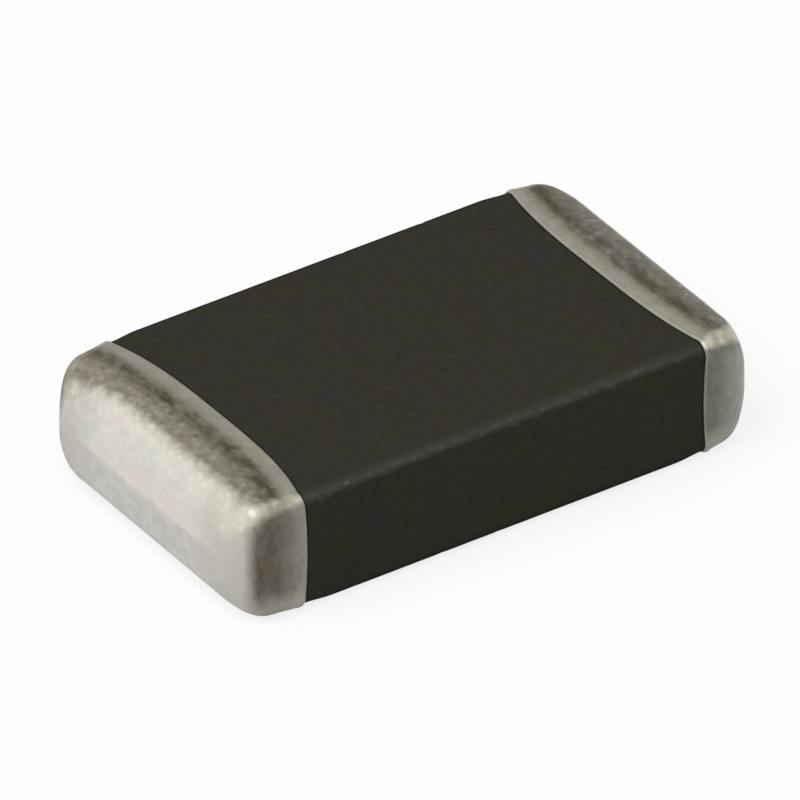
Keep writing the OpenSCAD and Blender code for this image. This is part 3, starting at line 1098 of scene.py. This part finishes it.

# %% [markdown]
# The edges come next. The upper front edge is painted paler, unevenly, partly as wear and partly as
# a painted highlight, and the other long edges are darkened with painted shade. Small painted glints
# and paler chips stand in for the light that they catch, and a painted shade is laid along the caps
# last.

# %% Ferrite material: edges, chips and seam
past_edge = carried(tree, "over_edge")
# painted paler along the upper front edge: partly wear, partly a painted highlight
wear_and_highlight = ramp(
    tree, past_edge,
    (-0.026, 0.0), (-0.010, 0.75), (0.0, 1.0), (0.012, 0.95), (0.028, 0.5), (0.055, 0.0),
)
worn_and_lit = carried(tree, "edge_wear_and_light")
wear_and_highlight = maths(tree, "MULTIPLY", wear_and_highlight, worn_and_lit)
# painted shade on the long edges that are not worn
painted_edge_shade = ramp(tree, past_edge, (-0.034, 0.0), (-0.018, 0.7), (0.018, 0.7), (0.034, 0.0))
painted_edge_shade = maths(tree, "MULTIPLY", painted_edge_shade, maths(tree, "SUBTRACT", 1.0, worn_and_lit))
tone = over(tree, tone, paint(22, 21, 18), painted_edge_shade)
uneven = maths(tree, "MULTIPLY_ADD", cloud(tree, place, 0.045, 0.35, 0.50, 19.0), 0.45, 0.55)
tone = over(tree, tone, paint(70, 69, 64), maths(tree, "MULTIPLY", wear_and_highlight, uneven))
# painted glints on the crest of the upper front edge
painted_glints = group(tree, specks, place=place, spacing=0.044, speck_size=0.0135, share=0.42)
crest = ramp(tree, past_edge, (-0.012, 0.0), (0.0, 1.0), (0.010, 1.0), (0.022, 0.0))
tone = over(
    tree, tone, paint(96, 94, 89),
    maths(tree, "MULTIPLY", painted_glints.outputs["Mask"], maths(tree, "MULTIPLY", crest, wear_and_highlight)),
)
# the chips are painted paler, as a painted highlight of the light that they catch
tone = over(tree, tone, paint(104, 101, 94), maths(tree, "MULTIPLY", carried(tree, "chip"), 0.30))
# painted shade in the corner where the caps rise from the ferrite
seam_shade = ramp(tree, carried(tree, "from_cap"), (0.0, 0.85), (0.005, 0.75), (0.010, 0.0))
seam_shade = maths(tree, "MULTIPLY", seam_shade, cloud(tree, place, 0.03, 0.6, 0.36, 13.0))
tone = over(tree, tone, paint(20, 19, 17), seam_shade)
tree.links.new(tone, surface.inputs["Base Color"])
tree.links.new(
    maths(tree, "MULTIPLY_ADD", grit.outputs["Grain"], 0.20, 0.62), surface.inputs["Roughness"],
)
tree.links.new(grit.outputs["Normal"], surface.inputs["Normal"])
print(ferrite_finish.name, "has", len(tree.nodes), "nodes")

# %% [markdown]
# ## Matt tin
# This is the finish that the eye goes to. On the real part it runs in zones: a pale, even strip
# next to the ferrite, a dull olive-brown streak, a mottled grey stretch of pebbles, a cream-bright
# turn with coarse nodules, and a pale, satin end face that is greyer towards the board. The end
# face is painted paler than the band, partly as its own colour and partly as painted light from the
# lamp that it faces; the turn's brightness is partly a painted highlight, and the greyer part towards
# the board is painted shade. The narrow sides are plainer. Each zone is a mask over the distance from
# the foot or the way round the end, and every mask is broken up by clouds, because nothing on a
# plated part has a clean outline. The two caps were plated side by side but came out a little
# different, so the same functions paint both, from a short list of their strengths.

# %% How the two caps differ
LEFT_LOOK = {
    "seed": 0.0, "strip": (161, 158, 146), "late": (173, 166, 152), "lip": 0.15,
    "streak": 1.0, "streak_at": 0.100, "pale_pebbles": 0.28, "edge_highlight": 0.50,
    "side_strip": (166, 164, 156), "side_late": (95, 85, 71), "side_stops": (0.018, 0.075, 0.140),
    "turn_from": 0.165, "turn_width": 0.32, "side_turn_from": 0.38, "back_shade_shift": 0.42,
}
RIGHT_LOOK = {
    "seed": 7.0, "strip": (162, 159, 147), "late": (144, 141, 128), "lip": 0.45,
    "streak": 0.86, "streak_at": 0.096, "pale_pebbles": 0.55, "edge_highlight": 1.0,
    "side_strip": (116, 115, 104), "side_late": (178, 179, 168), "side_stops": (0.045, 0.105, 0.165),
    "turn_from": 0.60, "turn_width": 0.22, "side_turn_from": 0.60, "back_shade_shift": 0.0,
}
print("values that set the look of a cap:", len(LEFT_LOOK), "and", len(RIGHT_LOOK))

# %% [markdown]
# ## Values that every zone reads
# The zones share their measures: how far a point lies from the foot, how far round the end, how
# high, and whether it is on a narrow side. They also share the pebbles, a blotchy cloud and the
# dark knots. A small class works these out once for a cap, so that the functions that paint the
# zones stay short. A drift is added to some measures, because a border that wanders looks grown.

# %% What the zones of a cap share
class TinPaint:
    """The node tree of a cap's finish, with the measures and masks that its zones share."""

    def __init__(self, tree, place, look):
        self.tree, self.place, self.look = tree, place, look
        drift = maths(tree, "MULTIPLY_ADD", self.clouded(0.045, 0.8, 0.5, 23.0), 0.036, -0.018)
        self.drift = drift
        self.from_foot = carried(tree, "from_foot")
        self.foot = maths(tree, "ADD", self.from_foot, drift)
        self.round_end = carried(tree, "round_end")
        self.end = maths(tree, "MULTIPLY_ADD", drift, 3.6, self.round_end)
        self.narrow = carried(tree, "narrow_side")
        self.wide = maths(tree, "SUBTRACT", 1.0, self.narrow, clamp=True)
        spot = add(tree, "ShaderNodeSeparateXYZ", {0: place})
        self.towards_back = spot.outputs[1]
        # the upper part of the cap, where the painted highlights of the turn and the long edges go
        self.upper = self.ramp(spot.outputs[2], (0.18, 0.0), (0.30, 1.0))
        self.height = maths(tree, "ADD", spot.outputs[2], drift)
        self.blotch = self.clouded(0.026, 0.26, 0.50, 29.0)
        self.knots = group(
            tree, specks, place=place, spacing=0.034, speck_size=0.014, share=0.34,
        ).outputs["Mask"]
        stones = group(tree, pebbles, place=place, pebble_size=PEBBLE_MM)
        self.tops = stones.outputs["Mask"]
        self.hollows = maths(tree, "SUBTRACT", 1.0, self.tops, clamp=True)
        chosen_tops = self.ramp(stones.outputs["Tone"], (0.42, 0.0), (0.62, 1.0))
        self.pale_tops = self.times(self.tops, chosen_tops)

    def times(self, *masks):
        """Masks and plain numbers, multiplied."""
        product = masks[0]
        for mask in masks[1:]:
            product = maths(self.tree, "MULTIPLY", product, mask)
        return product

    def clouded(self, size, softness, level, seed, strength=1.0, stretch=None):
        """A cloudy mask that differs from cap to cap. A stretch below 1 draws the clouds out."""
        place = vector_maths(self.tree, "MULTIPLY", self.place, stretch) if stretch else self.place
        return cloud(self.tree, place, size, softness, level, seed + self.look["seed"], strength)

    def ramp(self, value, *stops):
        return ramp(self.tree, value, *stops)

    def over(self, base, colour, mask):
        return over(self.tree, base, colour, mask)


# %% [markdown]
# ## The band on the wide faces
# Next to the ferrite the tin is an even strip with soft, paler and pinker clouds. Further on it is
# mottled: some pebbles are pale, and the hollows between them are darkened with painted shade.
# Between the two runs the dull streak, broken up by clouds that are stretched along it, with dark
# knots in and past it.

# %% Paint the wide band
def strip_tone(tin):
    fine = tin.clouded(0.010, 0.40, 0.50, 31.0)
    tone = tin.over(paint(*tin.look["strip"]), paint(140, 135, 123), tin.times(fine, 0.50))
    tone = tin.over(tone, paint(178, 174, 160), tin.clouded(0.045, 0.22, 0.53, 73.0, 0.50))
    tone = tin.over(tone, paint(166, 153, 142), tin.clouded(0.09, 0.22, 0.56, 83.0, 0.45))
    return tin.over(tone, paint(132, 127, 115), tin.ramp(tin.foot, (0.035, 0.0), (0.075, 0.8)))


def mottled_tone(tin):
    to_late = tin.ramp(tin.foot, (0.10, 0.0), (0.17, 1.0))
    tone = tin.over(paint(126, 121, 109), paint(*tin.look["late"]), to_late)
    tone = tin.over(tone, paint(116, 110, 97), tin.times(tin.blotch, 0.50))
    outer_part = tin.ramp(tin.foot, (0.11, 0.5), (0.17, 1.0))
    pale_pebbles = tin.times(tin.pale_tops, outer_part, tin.look["pale_pebbles"])
    tone = tin.over(tone, paint(178, 172, 159), pale_pebbles)
    # painted shade in the hollows between the pebbles
    tone = tin.over(tone, paint(96, 90, 76), tin.times(tin.hollows, 0.40))
    return tin.over(tone, paint(162, 150, 141), tin.clouded(0.06, 0.2, 0.56, 59.0, 0.40))


def wide_band(tin):
    """The strip and the mottled stretch, with the dull streak and its knots laid over them."""
    to_mottled = tin.ramp(tin.foot, (0.060, 0.0), (0.090, 1.0))
    tone = tin.over(strip_tone(tin), mottled_tone(tin), to_mottled)
    at = tin.look["streak_at"]
    streak = tin.ramp(
        tin.foot, (at - 0.034, 0.0), (at - 0.010, 1.0), (at + 0.008, 1.0), (at + 0.045, 0.0),
    )
    broken_up = tin.clouded(0.042, 0.20, 0.49, 47.0, stretch=(1.0, 0.36, 1.0))
    tone = tin.over(tone, paint(82, 75, 59), tin.times(streak, broken_up, tin.look["streak"]))
    dark_zone = tin.ramp(tin.foot, (0.065, 0.0), (0.090, 0.8), (0.150, 0.8), (0.215, 0.0))
    return tin.over(tone, paint(66, 60, 48), tin.times(tin.knots, dark_zone, 0.55))


# %% [markdown]
# ## The narrow sides
# The sides are plainer: an even strip that dulls towards the turn on the left cap and brightens on
# the right one, with upright clouds. Low down, near the board, they are paler.

# %% Paint the narrow sides
def narrow_band(tin):
    first, second, last = tin.look["side_stops"]
    to_late = tin.ramp(tin.foot, (first, 0.0), (second, 0.55), (last, 1.0))
    tone = tin.over(paint(*tin.look["side_strip"]), paint(*tin.look["side_late"]), to_late)
    upright = tin.clouded(0.034, 0.26, 0.50, 61.0, stretch=(1.0, 1.0, 0.42))
    tone = tin.over(tone, paint(148, 145, 135), tin.times(upright, 0.40))
    tone = tin.over(tone, paint(96, 90, 80), tin.times(tin.blotch, 0.16))
    tone = tin.over(tone, paint(104, 95, 82), tin.times(tin.knots, 0.25))
    low = tin.ramp(tin.height, (0.060, 1.0), (0.130, 0.0))
    return tin.over(tone, paint(184, 181, 170), tin.times(low, 0.65))


# %% [markdown]
# ## The end face
# The face is satin and nearly white, partly its own colour and partly painted light from the lamp
# that it faces, with a faint bloom of pink and green. Below its middle it is greyer with painted
# shade, with pale and dull clouds and a soft crease as the border, and painted shade greys it off
# to both sides.

# %% Paint the end face
def lower_face(tin, tone):
    # painted shade: greyer below the middle of the face
    low = tin.ramp(tin.height, (0.218, 1.0), (0.248, 0.0))
    tone = tin.over(tone, paint(207, 205, 201), tin.times(low, 0.88))
    pale_clouds = tin.clouded(0.075, 0.22, 0.53, 79.0)
    tone = tin.over(tone, paint(224, 220, 209), tin.times(low, pale_clouds, 0.55))
    dull_clouds = tin.clouded(0.042, 0.22, 0.52, 89.0)
    tone = tin.over(tone, paint(184, 182, 176), tin.times(low, dull_clouds, 0.45))
    crease = tin.ramp(tin.height, (0.222, 0.0), (0.236, 1.0), (0.250, 0.0))
    crease = tin.times(crease, tin.clouded(0.07, 0.3, 0.50, 67.0), 0.45)
    return tin.over(tone, paint(196, 184, 180), crease)


def end_face(tin):
    # a pale face: partly its own colour, partly painted light from the lamp that it faces
    tone = tin.over(paint(235, 231, 220), paint(228, 226, 219), tin.clouded(0.10, 0.3, 0.50, 37.0))
    tone = tin.over(tone, paint(240, 223, 222), tin.clouded(0.11, 0.20, 0.51, 41.0, 0.70))
    tone = tin.over(tone, paint(218, 227, 210), tin.clouded(0.075, 0.20, 0.57, 43.0, 0.65))
    tone = tin.over(tone, paint(200, 196, 187), tin.times(tin.blotch, 0.22))
    tone = tin.over(tone, paint(242, 239, 230), tin.times(tin.pale_tops, 0.18))
    tone = lower_face(tin, tone)
    # painted shade towards both sides of the face
    off_middle = maths(tin.tree, "ABSOLUTE", tin.towards_back)
    off_middle = maths(tin.tree, "MULTIPLY_ADD", tin.drift, 4.0, off_middle)
    side_shade = tin.ramp(off_middle, (0.27, 0.0), (0.44, 0.75), (0.52, 0.8))
    return tin.over(tone, paint(198, 196, 186), side_shade)


# %% [markdown]
# ## The turn from band to face
# The border between the two runs along the rounded end. It isn't a clean line: the pebbles make it
# ragged, and cream-bright clumps sit along its upper part, partly nodules and partly a painted
# highlight where the turn faces the lamp. On the left cap it also comes later, so further round the
# end, at the back and on the narrow sides; at the back this is painted shade on the side turned from
# the lamp. The hollows along the turn get a little painted shade.

# %% Paint the turn
def turned(tin, band, face):
    """The band, then the face, with the border and its clumps between them."""
    tree, start, side_start = tin.tree, tin.look["turn_from"], tin.look["side_turn_from"]
    # painted shade: the turn comes later at the back
    back_shade = tin.ramp(tin.towards_back, (0.28, 0.0), (0.56, 1.0))
    back_shade = tin.times(back_shade, tin.look["back_shade_shift"])
    end = maths(tree, "SUBTRACT", tin.end, back_shade)
    ragged_end = maths(tree, "ADD", end, maths(tree, "MULTIPLY_ADD", tin.tops, 0.03, -0.015))
    wide_turn = tin.ramp(ragged_end, (start, 0.0), (start + tin.look["turn_width"], 1.0))
    side_end = maths(tree, "MULTIPLY_ADD", tin.drift, 3.0, tin.round_end)
    side_end = maths(tree, "SUBTRACT", side_end, back_shade)
    side_turn = tin.ramp(side_end, (side_start, 0.0), (side_start + 0.28, 1.0))
    tone = tin.over(band, face, tin.over(wide_turn, side_turn, tin.narrow))
    rim = tin.ramp(end, (start + 0.05, 0.0), (start + 0.25, 1.0), (0.80, 0.7), (1.05, 0.0))
    rim = tin.times(rim, tin.wide)
    # cream clumps along the upper turn, partly nodules and partly a painted highlight
    clumps_and_highlight = tin.times(rim, tin.upper, tin.clouded(0.055, 0.22, 0.54, 71.0))
    tone = tin.over(tone, paint(238, 233, 216), tin.times(clumps_and_highlight, 0.70))
    tone = tin.over(tone, paint(250, 248, 238), tin.times(clumps_and_highlight, tin.pale_tops, 0.28))
    # a little painted shade in the hollows along the turn
    return tin.over(tone, paint(168, 161, 148), tin.times(rim, tin.hollows, 0.10))


# %% [markdown]
# ## Long edges, lip and nodules
# The upper long edges get a painted highlight: most at the foot and again as they run into the
# turn, and more in front than at the back. A thin pale line of painted highlight marks the rise of
# the lip, and each nodule is a little paler than the tin it stands on.

# %% Paint the bright places
def brightened(tin, tone):
    # painted highlight along the upper long edges, stronger in front
    edge = tin.times(
        tin.ramp(carried(tin.tree, "long_edge"), (0.18, 0.0), (0.76, 1.0), (1.0, 1.0)),
        tin.ramp(tin.narrow, (0.46, 1.0), (0.74, 0.0)),
        tin.ramp(tin.end, (0.75, 1.0), (1.06, 0.0)),
    )
    along = tin.ramp(
        tin.from_foot, (0.0, 1.0), (0.030, 0.85), (0.060, 0.55), (0.150, 0.85), (0.30, 1.0),
    )
    front = tin.ramp(tin.towards_back, (-0.2, 1.0), (0.2, 0.45))
    uneven = maths(tin.tree, "MULTIPLY_ADD", tin.blotch, 0.4, 0.6)
    painted_edge_highlight = tin.times(along, edge, tin.upper, front, uneven)
    tone = tin.over(tone, paint(244, 238, 216), tin.times(painted_edge_highlight, tin.look["edge_highlight"]))
    tone = tin.over(tone, paint(250, 247, 234), tin.times(painted_edge_highlight, tin.pale_tops, 0.6))
    # painted highlight on the rise of the lip
    lip = tin.ramp(tin.from_foot, (0.0, 1.0), (0.005, 0.9), (0.012, 0.0))
    tone = tin.over(tone, paint(186, 183, 171), tin.times(lip, tin.look["lip"]))
    return tin.over(tone, paint(240, 236, 222), tin.times(carried(tin.tree, "grain"), 0.35))


# %% [markdown]
# ## The tin materials
# The zones are laid over each other in order, and the shader around them is the same for both caps.
# Tin is all metal, but its felt of crystals scatters the light so evenly that a low Metallic value
# with a fair roughness looks more like it than a full one. A fine grain is its bump.

# %% Tin materials
def tin_material(name, look):
    material, tree, surface, place = new_material(name)
    surface.inputs["Metallic"].default_value = 0.30
    surface.inputs["Specular IOR Level"].default_value = 0.25
    tin = TinPaint(tree, place, look)
    band = tin.over(wide_band(tin), narrow_band(tin), tin.narrow)
    tone = brightened(tin, turned(tin, band, end_face(tin)))
    tree.links.new(tone, surface.inputs["Base Color"])
    felt = group(
        tree, fine_grain, place=place, grain_size=0.008, bump_height=0.0000010, strength=0.40,
        seed=53.0 + look["seed"],
    )
    tree.links.new(felt.outputs["Normal"], surface.inputs["Normal"])
    dullness = maths(tree, "MULTIPLY_ADD", felt.outputs["Grain"], 0.22, 0.42)
    tree.links.new(dullness, surface.inputs["Roughness"])
    print(name, "has", len(tree.nodes), "nodes")
    return material


left_tin_finish = tin_material("matt tin of the left cap", LEFT_LOOK)
right_tin_finish = tin_material("matt tin of the right cap", RIGHT_LOOK)

# %% [markdown]
# ## The metals inside
# Fired silver is a frit of small grains, so it is pale, warm and rough. Nickel plates smoother and
# darker. Neither shows on a whole part, but both would in a cut one, so each gets a real finish
# from the same groups. The printed coil is the same kind of silver, denser, because it is fired
# between the sheets.

# %% Silver, nickel and coil materials
def metal(name, pale, dark, roughness, cloud_mm, grain_mm, bump_m, seed):
    """A cloudy, grainy metal between a pale and a dark tone."""
    material, tree, surface, place = new_material(name)
    surface.inputs["Metallic"].default_value = 1.0
    mask = group(tree, clouds, place=place, cloud_size=cloud_mm, softness=0.4, seed=seed)
    grain = group(
        tree, fine_grain, place=place, grain_size=grain_mm, bump_height=bump_m, seed=seed + 1,
    )
    tree.links.new(over(tree, pale, dark, mask.outputs["Mask"]), surface.inputs["Base Color"])
    dull = maths(tree, "MULTIPLY_ADD", grain.outputs["Grain"], 0.3, roughness)
    tree.links.new(dull, surface.inputs["Roughness"])
    tree.links.new(grain.outputs["Normal"], surface.inputs["Normal"])
    print(f"{name}: clouds of {cloud_mm} mm, grains of {grain_mm} mm")
    return material


silver_finish = metal(
    "fired silver", paint(222, 217, 206), paint(196, 190, 178), roughness=0.35,
    cloud_mm=0.05, grain_mm=0.009, bump_m=1.6e-6, seed=61.0,
)
nickel_finish = metal(
    "nickel plate", paint(190, 184, 170), paint(168, 162, 149), roughness=0.22,
    cloud_mm=0.09, grain_mm=0.005, bump_m=0.6e-6, seed=67.0,
)
coil_finish = metal(
    "printed silver", paint(214, 210, 200), paint(182, 176, 165), roughness=0.30,
    cloud_mm=0.04, grain_mm=0.012, bump_m=1.2e-6, seed=71.0,
)

# %% Give each carried-over solid its finish
CAD_FINISHES = {
    "coil_winding": coil_finish,
    "left_silver_base": silver_finish,
    "right_silver_base": silver_finish,
    "left_nickel_barrier": nickel_finish,
    "right_nickel_barrier": nickel_finish,
}
for node, finish in CAD_FINISHES.items():
    slots = nodes[node].data.materials
    if len(slots):
        for index in range(len(slots)):
            slots[index] = finish
    else:
        slots.append(finish)
    print(node, "wears", finish.name)

# %% [markdown]
# ## Run the trees
# Each skin gets its tree with its own sizes and seed. Then the result is turned into a plain mesh,
# scaled to metres and shaded smooth. The boxes printed here have to lie inside the chip's own.

# %% Grow the tin and wear the ferrite
def finish_piece(piece):
    """Applies the tree, scales the mesh to metres, shades it smooth and measures it."""
    bake(piece)
    piece.data.transform(Matrix.Scale(MM, 4))
    piece.data.shade_smooth()
    places = np.empty(len(piece.data.vertices) * 3, np.float32)
    piece.data.vertices.foreach_get("co", places)
    places = places.astype(float).reshape(-1, 3) / MM
    triangles = sum(len(p.vertices) - 2 for p in piece.data.polygons)
    low, high = places.min(axis=0).round(4).tolist(), places.max(axis=0).round(4).tolist()
    print(f"{piece.name}: {triangles} triangles, {low} to {high} mm")


TIN_GROWTH = {
    "Swell height": 0.0010,
    "Swell size": 0.11,
    "Pebble depth": 0.0009,
    "Pebble size": PEBBLE_MM,
    "Grains per area": 85.0,
    "Least grain": 0.0025,
    "Largest grain": 0.0100,
    "Lowest corner": tuple(chip_low),
    "Highest corner": tuple(chip_high),
}
use_tree(left_tin, tin_tree, {**TIN_GROWTH, "Seed": 4, "Finish": left_tin_finish})
use_tree(right_tin, tin_tree, {**TIN_GROWTH, "Seed": 9, "Finish": right_tin_finish})
use_tree(
    ferrite,
    ferrite_tree,
    {
        "Wave height": 0.0008,
        "Wave size": 0.10,
        "Chips per area": 420.0,
        "Chip radius": 0.014,
        "Chip depth": 0.0020,
        "Seed": 2,
        "Finish": ferrite_finish,
    },
)
for piece in (left_tin, right_tin, ferrite):
    finish_piece(piece)

# %% [markdown]
# ## Tie the new skins to the frame
# Each skin rides on the one body of this part and stands for the solid that it replaces, which is
# hidden. It keeps the finish that its tree gave it.

# %% Ride, and hide the replaced solids
REPLACED = (
    (ferrite, "ferrite_body", "ferrite"),
    (left_tin, "left_tin_finish", "tin"),
    (right_tin, "right_tin_finish", "tin"),
)
for piece, node, slot_name in REPLACED:
    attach(piece, "root")
    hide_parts(node)
    print(piece.name, "stands for", node)

# %% [markdown]
# ## Floor, lamps and camera
# A photo of so small a part is taken with a long lens from far off, so its edges stay almost
# parallel. The floor is a plain card. The camera and reflections see it almost white, but the light
# that bounces off it is that of a pale grey card, so that it doesn't wash out the chip's sides.
# One large lamp stands up on the left, where it lights the near cap's end face, a small one picks
# out the edges, and an even grey sky fills the rest.
# A lamp's power is worked out from the light that should reach the chip, so that a colour comes
# out about as it is written: on a white surface facing the lamp, a share of 1 renders as white.

# %% Floor
# tone of the card for light that bounces off it, and how far it is whitened where it is seen
CARD_BOUNCE, CARD_WHITE = 214, 0.82
floor_half = 60 * MM
floor_mesh = bpy.data.meshes.new("floor")
floor_corners = [(-1, -1), (1, -1), (1, 1), (-1, 1)]
floor_points = [(x * floor_half, y * floor_half, 0) for x, y in floor_corners]
floor_mesh.from_pydata(floor_points, [], [(0, 1, 2, 3)])
floor = bpy.data.objects.new("floor", floor_mesh)
bpy.context.scene.collection.objects.link(floor)
floor_finish, tree, surface, place = new_material("white card")
surface.inputs["Roughness"].default_value = 1.0
surface.inputs["Specular IOR Level"].default_value = 0.0
card = group(tree, clouds, place=place, cloud_size=0.5, softness=1.0, seed=83.0)
tree.links.new(
    over(tree, paint(255, 255, 254), paint(252, 252, 251), card.outputs["Mask"]),
    surface.inputs["Base Color"],
)
bounced = add(tree, "ShaderNodeBsdfDiffuse", {"Color": paint(CARD_BOUNCE, CARD_BOUNCE, CARD_BOUNCE)})
white = add(tree, "ShaderNodeEmission", {"Color": (1.0, 1.0, 1.0, 1.0), "Strength": 1.0})
seen = add(tree, "ShaderNodeMixShader", {0: CARD_WHITE, 1: surface.outputs[0], 2: white.outputs[0]})
ray = add(tree, "ShaderNodeLightPath")
direct = maths(tree, "ADD", ray.outputs["Is Camera Ray"], ray.outputs["Is Glossy Ray"])
direct = maths(tree, "ADD", direct, ray.outputs["Is Transmission Ray"], clamp=True)
card_shader = add(tree, "ShaderNodeMixShader", {0: direct, 1: bounced.outputs[0], 2: seen.outputs[0]})
output = next(node for node in tree.nodes if node.type == "OUTPUT_MATERIAL")
tree.links.new(card_shader.outputs[0], output.inputs["Surface"])
floor_mesh.materials.append(floor_finish)
print("width of the floor, mm:", round(2 * floor_half / MM))

# %% Sky and lamps
scene = bpy.context.scene
world = bpy.data.worlds.new("studio sky")
scene.world = world
world.use_nodes = True
SKY_COLOUR, SKY_STRENGTH = (1.0, 1.0, 0.985, 1.0), 0.42
sky = world.node_tree.nodes["Background"]
sky.inputs["Color"].default_value = SKY_COLOUR
sky.inputs["Strength"].default_value = SKY_STRENGTH


def lamp(name, towards, share, size_mm, distance_mm):
    """A soft square lamp. share is the light it gives a surface that faces it."""
    light = bpy.data.lights.new(name, "AREA")
    light.shape = "SQUARE"
    light.size = size_mm * MM
    light.energy = share * math.pi ** 2 * (distance_mm * MM) ** 2
    holder = bpy.data.objects.new(name, light)
    direction = Vector(towards).normalized()
    holder.location = Vector(chip_middle) * MM + direction * distance_mm * MM
    holder.rotation_euler = direction.to_track_quat("Z", "Y").to_euler()
    scene.collection.objects.link(holder)
    print(name, "gives", round(share, 2), "from", [round(v, 2) for v in direction])


lamp("key softbox", towards=(-0.50, -0.05, 0.86), share=0.66, size_mm=24, distance_mm=32)
lamp("edge softbox", towards=(0.47, -0.56, 0.69), share=0.06, size_mm=7, distance_mm=30)

# %% [markdown]
# ## The camera
# The camera looks from 34 degrees left of the front and 34 degrees up. These angles were found by
# fitting the chip's outline to the photo. It is aimed a little off the chip's middle, so that the
# chip lies in the picture where it lies in the photo.

# %% Camera
# the photo is 800 pixels wide, and a millimetre at the chip is 297 of them
photo_px, px_per_mm = 800, 297.0
chip_centre_px = (400.4, 398.9)
camera_azimuth, camera_elevation = -34.2, 33.9
camera_distance_mm, sensor_mm = 98.4, 36.0
nearest_seen_mm, furthest_seen_mm = 1, 1000
a, e = math.radians(camera_azimuth), math.radians(camera_elevation)
backwards = Vector((math.sin(a) * math.cos(e), -math.cos(a) * math.cos(e), math.sin(e)))
rightwards = Vector((math.cos(a), math.sin(a), 0))
upwards = backwards.cross(rightwards)
off_right = (chip_centre_px[0] - photo_px / 2) / px_per_mm
off_up = (photo_px / 2 - chip_centre_px[1]) / px_per_mm
aim = Vector(chip_middle) - rightwards * off_right - upwards * off_up
camera_data = bpy.data.cameras.new("camera")
camera_data.sensor_width = sensor_mm
camera_data.lens = sensor_mm * camera_distance_mm * px_per_mm / photo_px
camera_data.clip_start, camera_data.clip_end = nearest_seen_mm * MM, furthest_seen_mm * MM
camera = bpy.data.objects.new("camera", camera_data)
camera.location = (aim + backwards * camera_distance_mm) * MM
camera.rotation_euler = backwards.to_track_quat("Z", "Y").to_euler()
scene.collection.objects.link(camera)
scene.camera = camera
scene.view_settings.view_transform = "Standard"
print("lens, mm:", round(camera_data.lens, 1))

# %% [markdown]
# ## Bring the scene up to date
# The looks must not change the chip's size, so the skins and the trees keep every point inside the
# imported model's box. Last, the view layer is brought up to date.

# %% Update the view layer
bpy.context.view_layer.update()
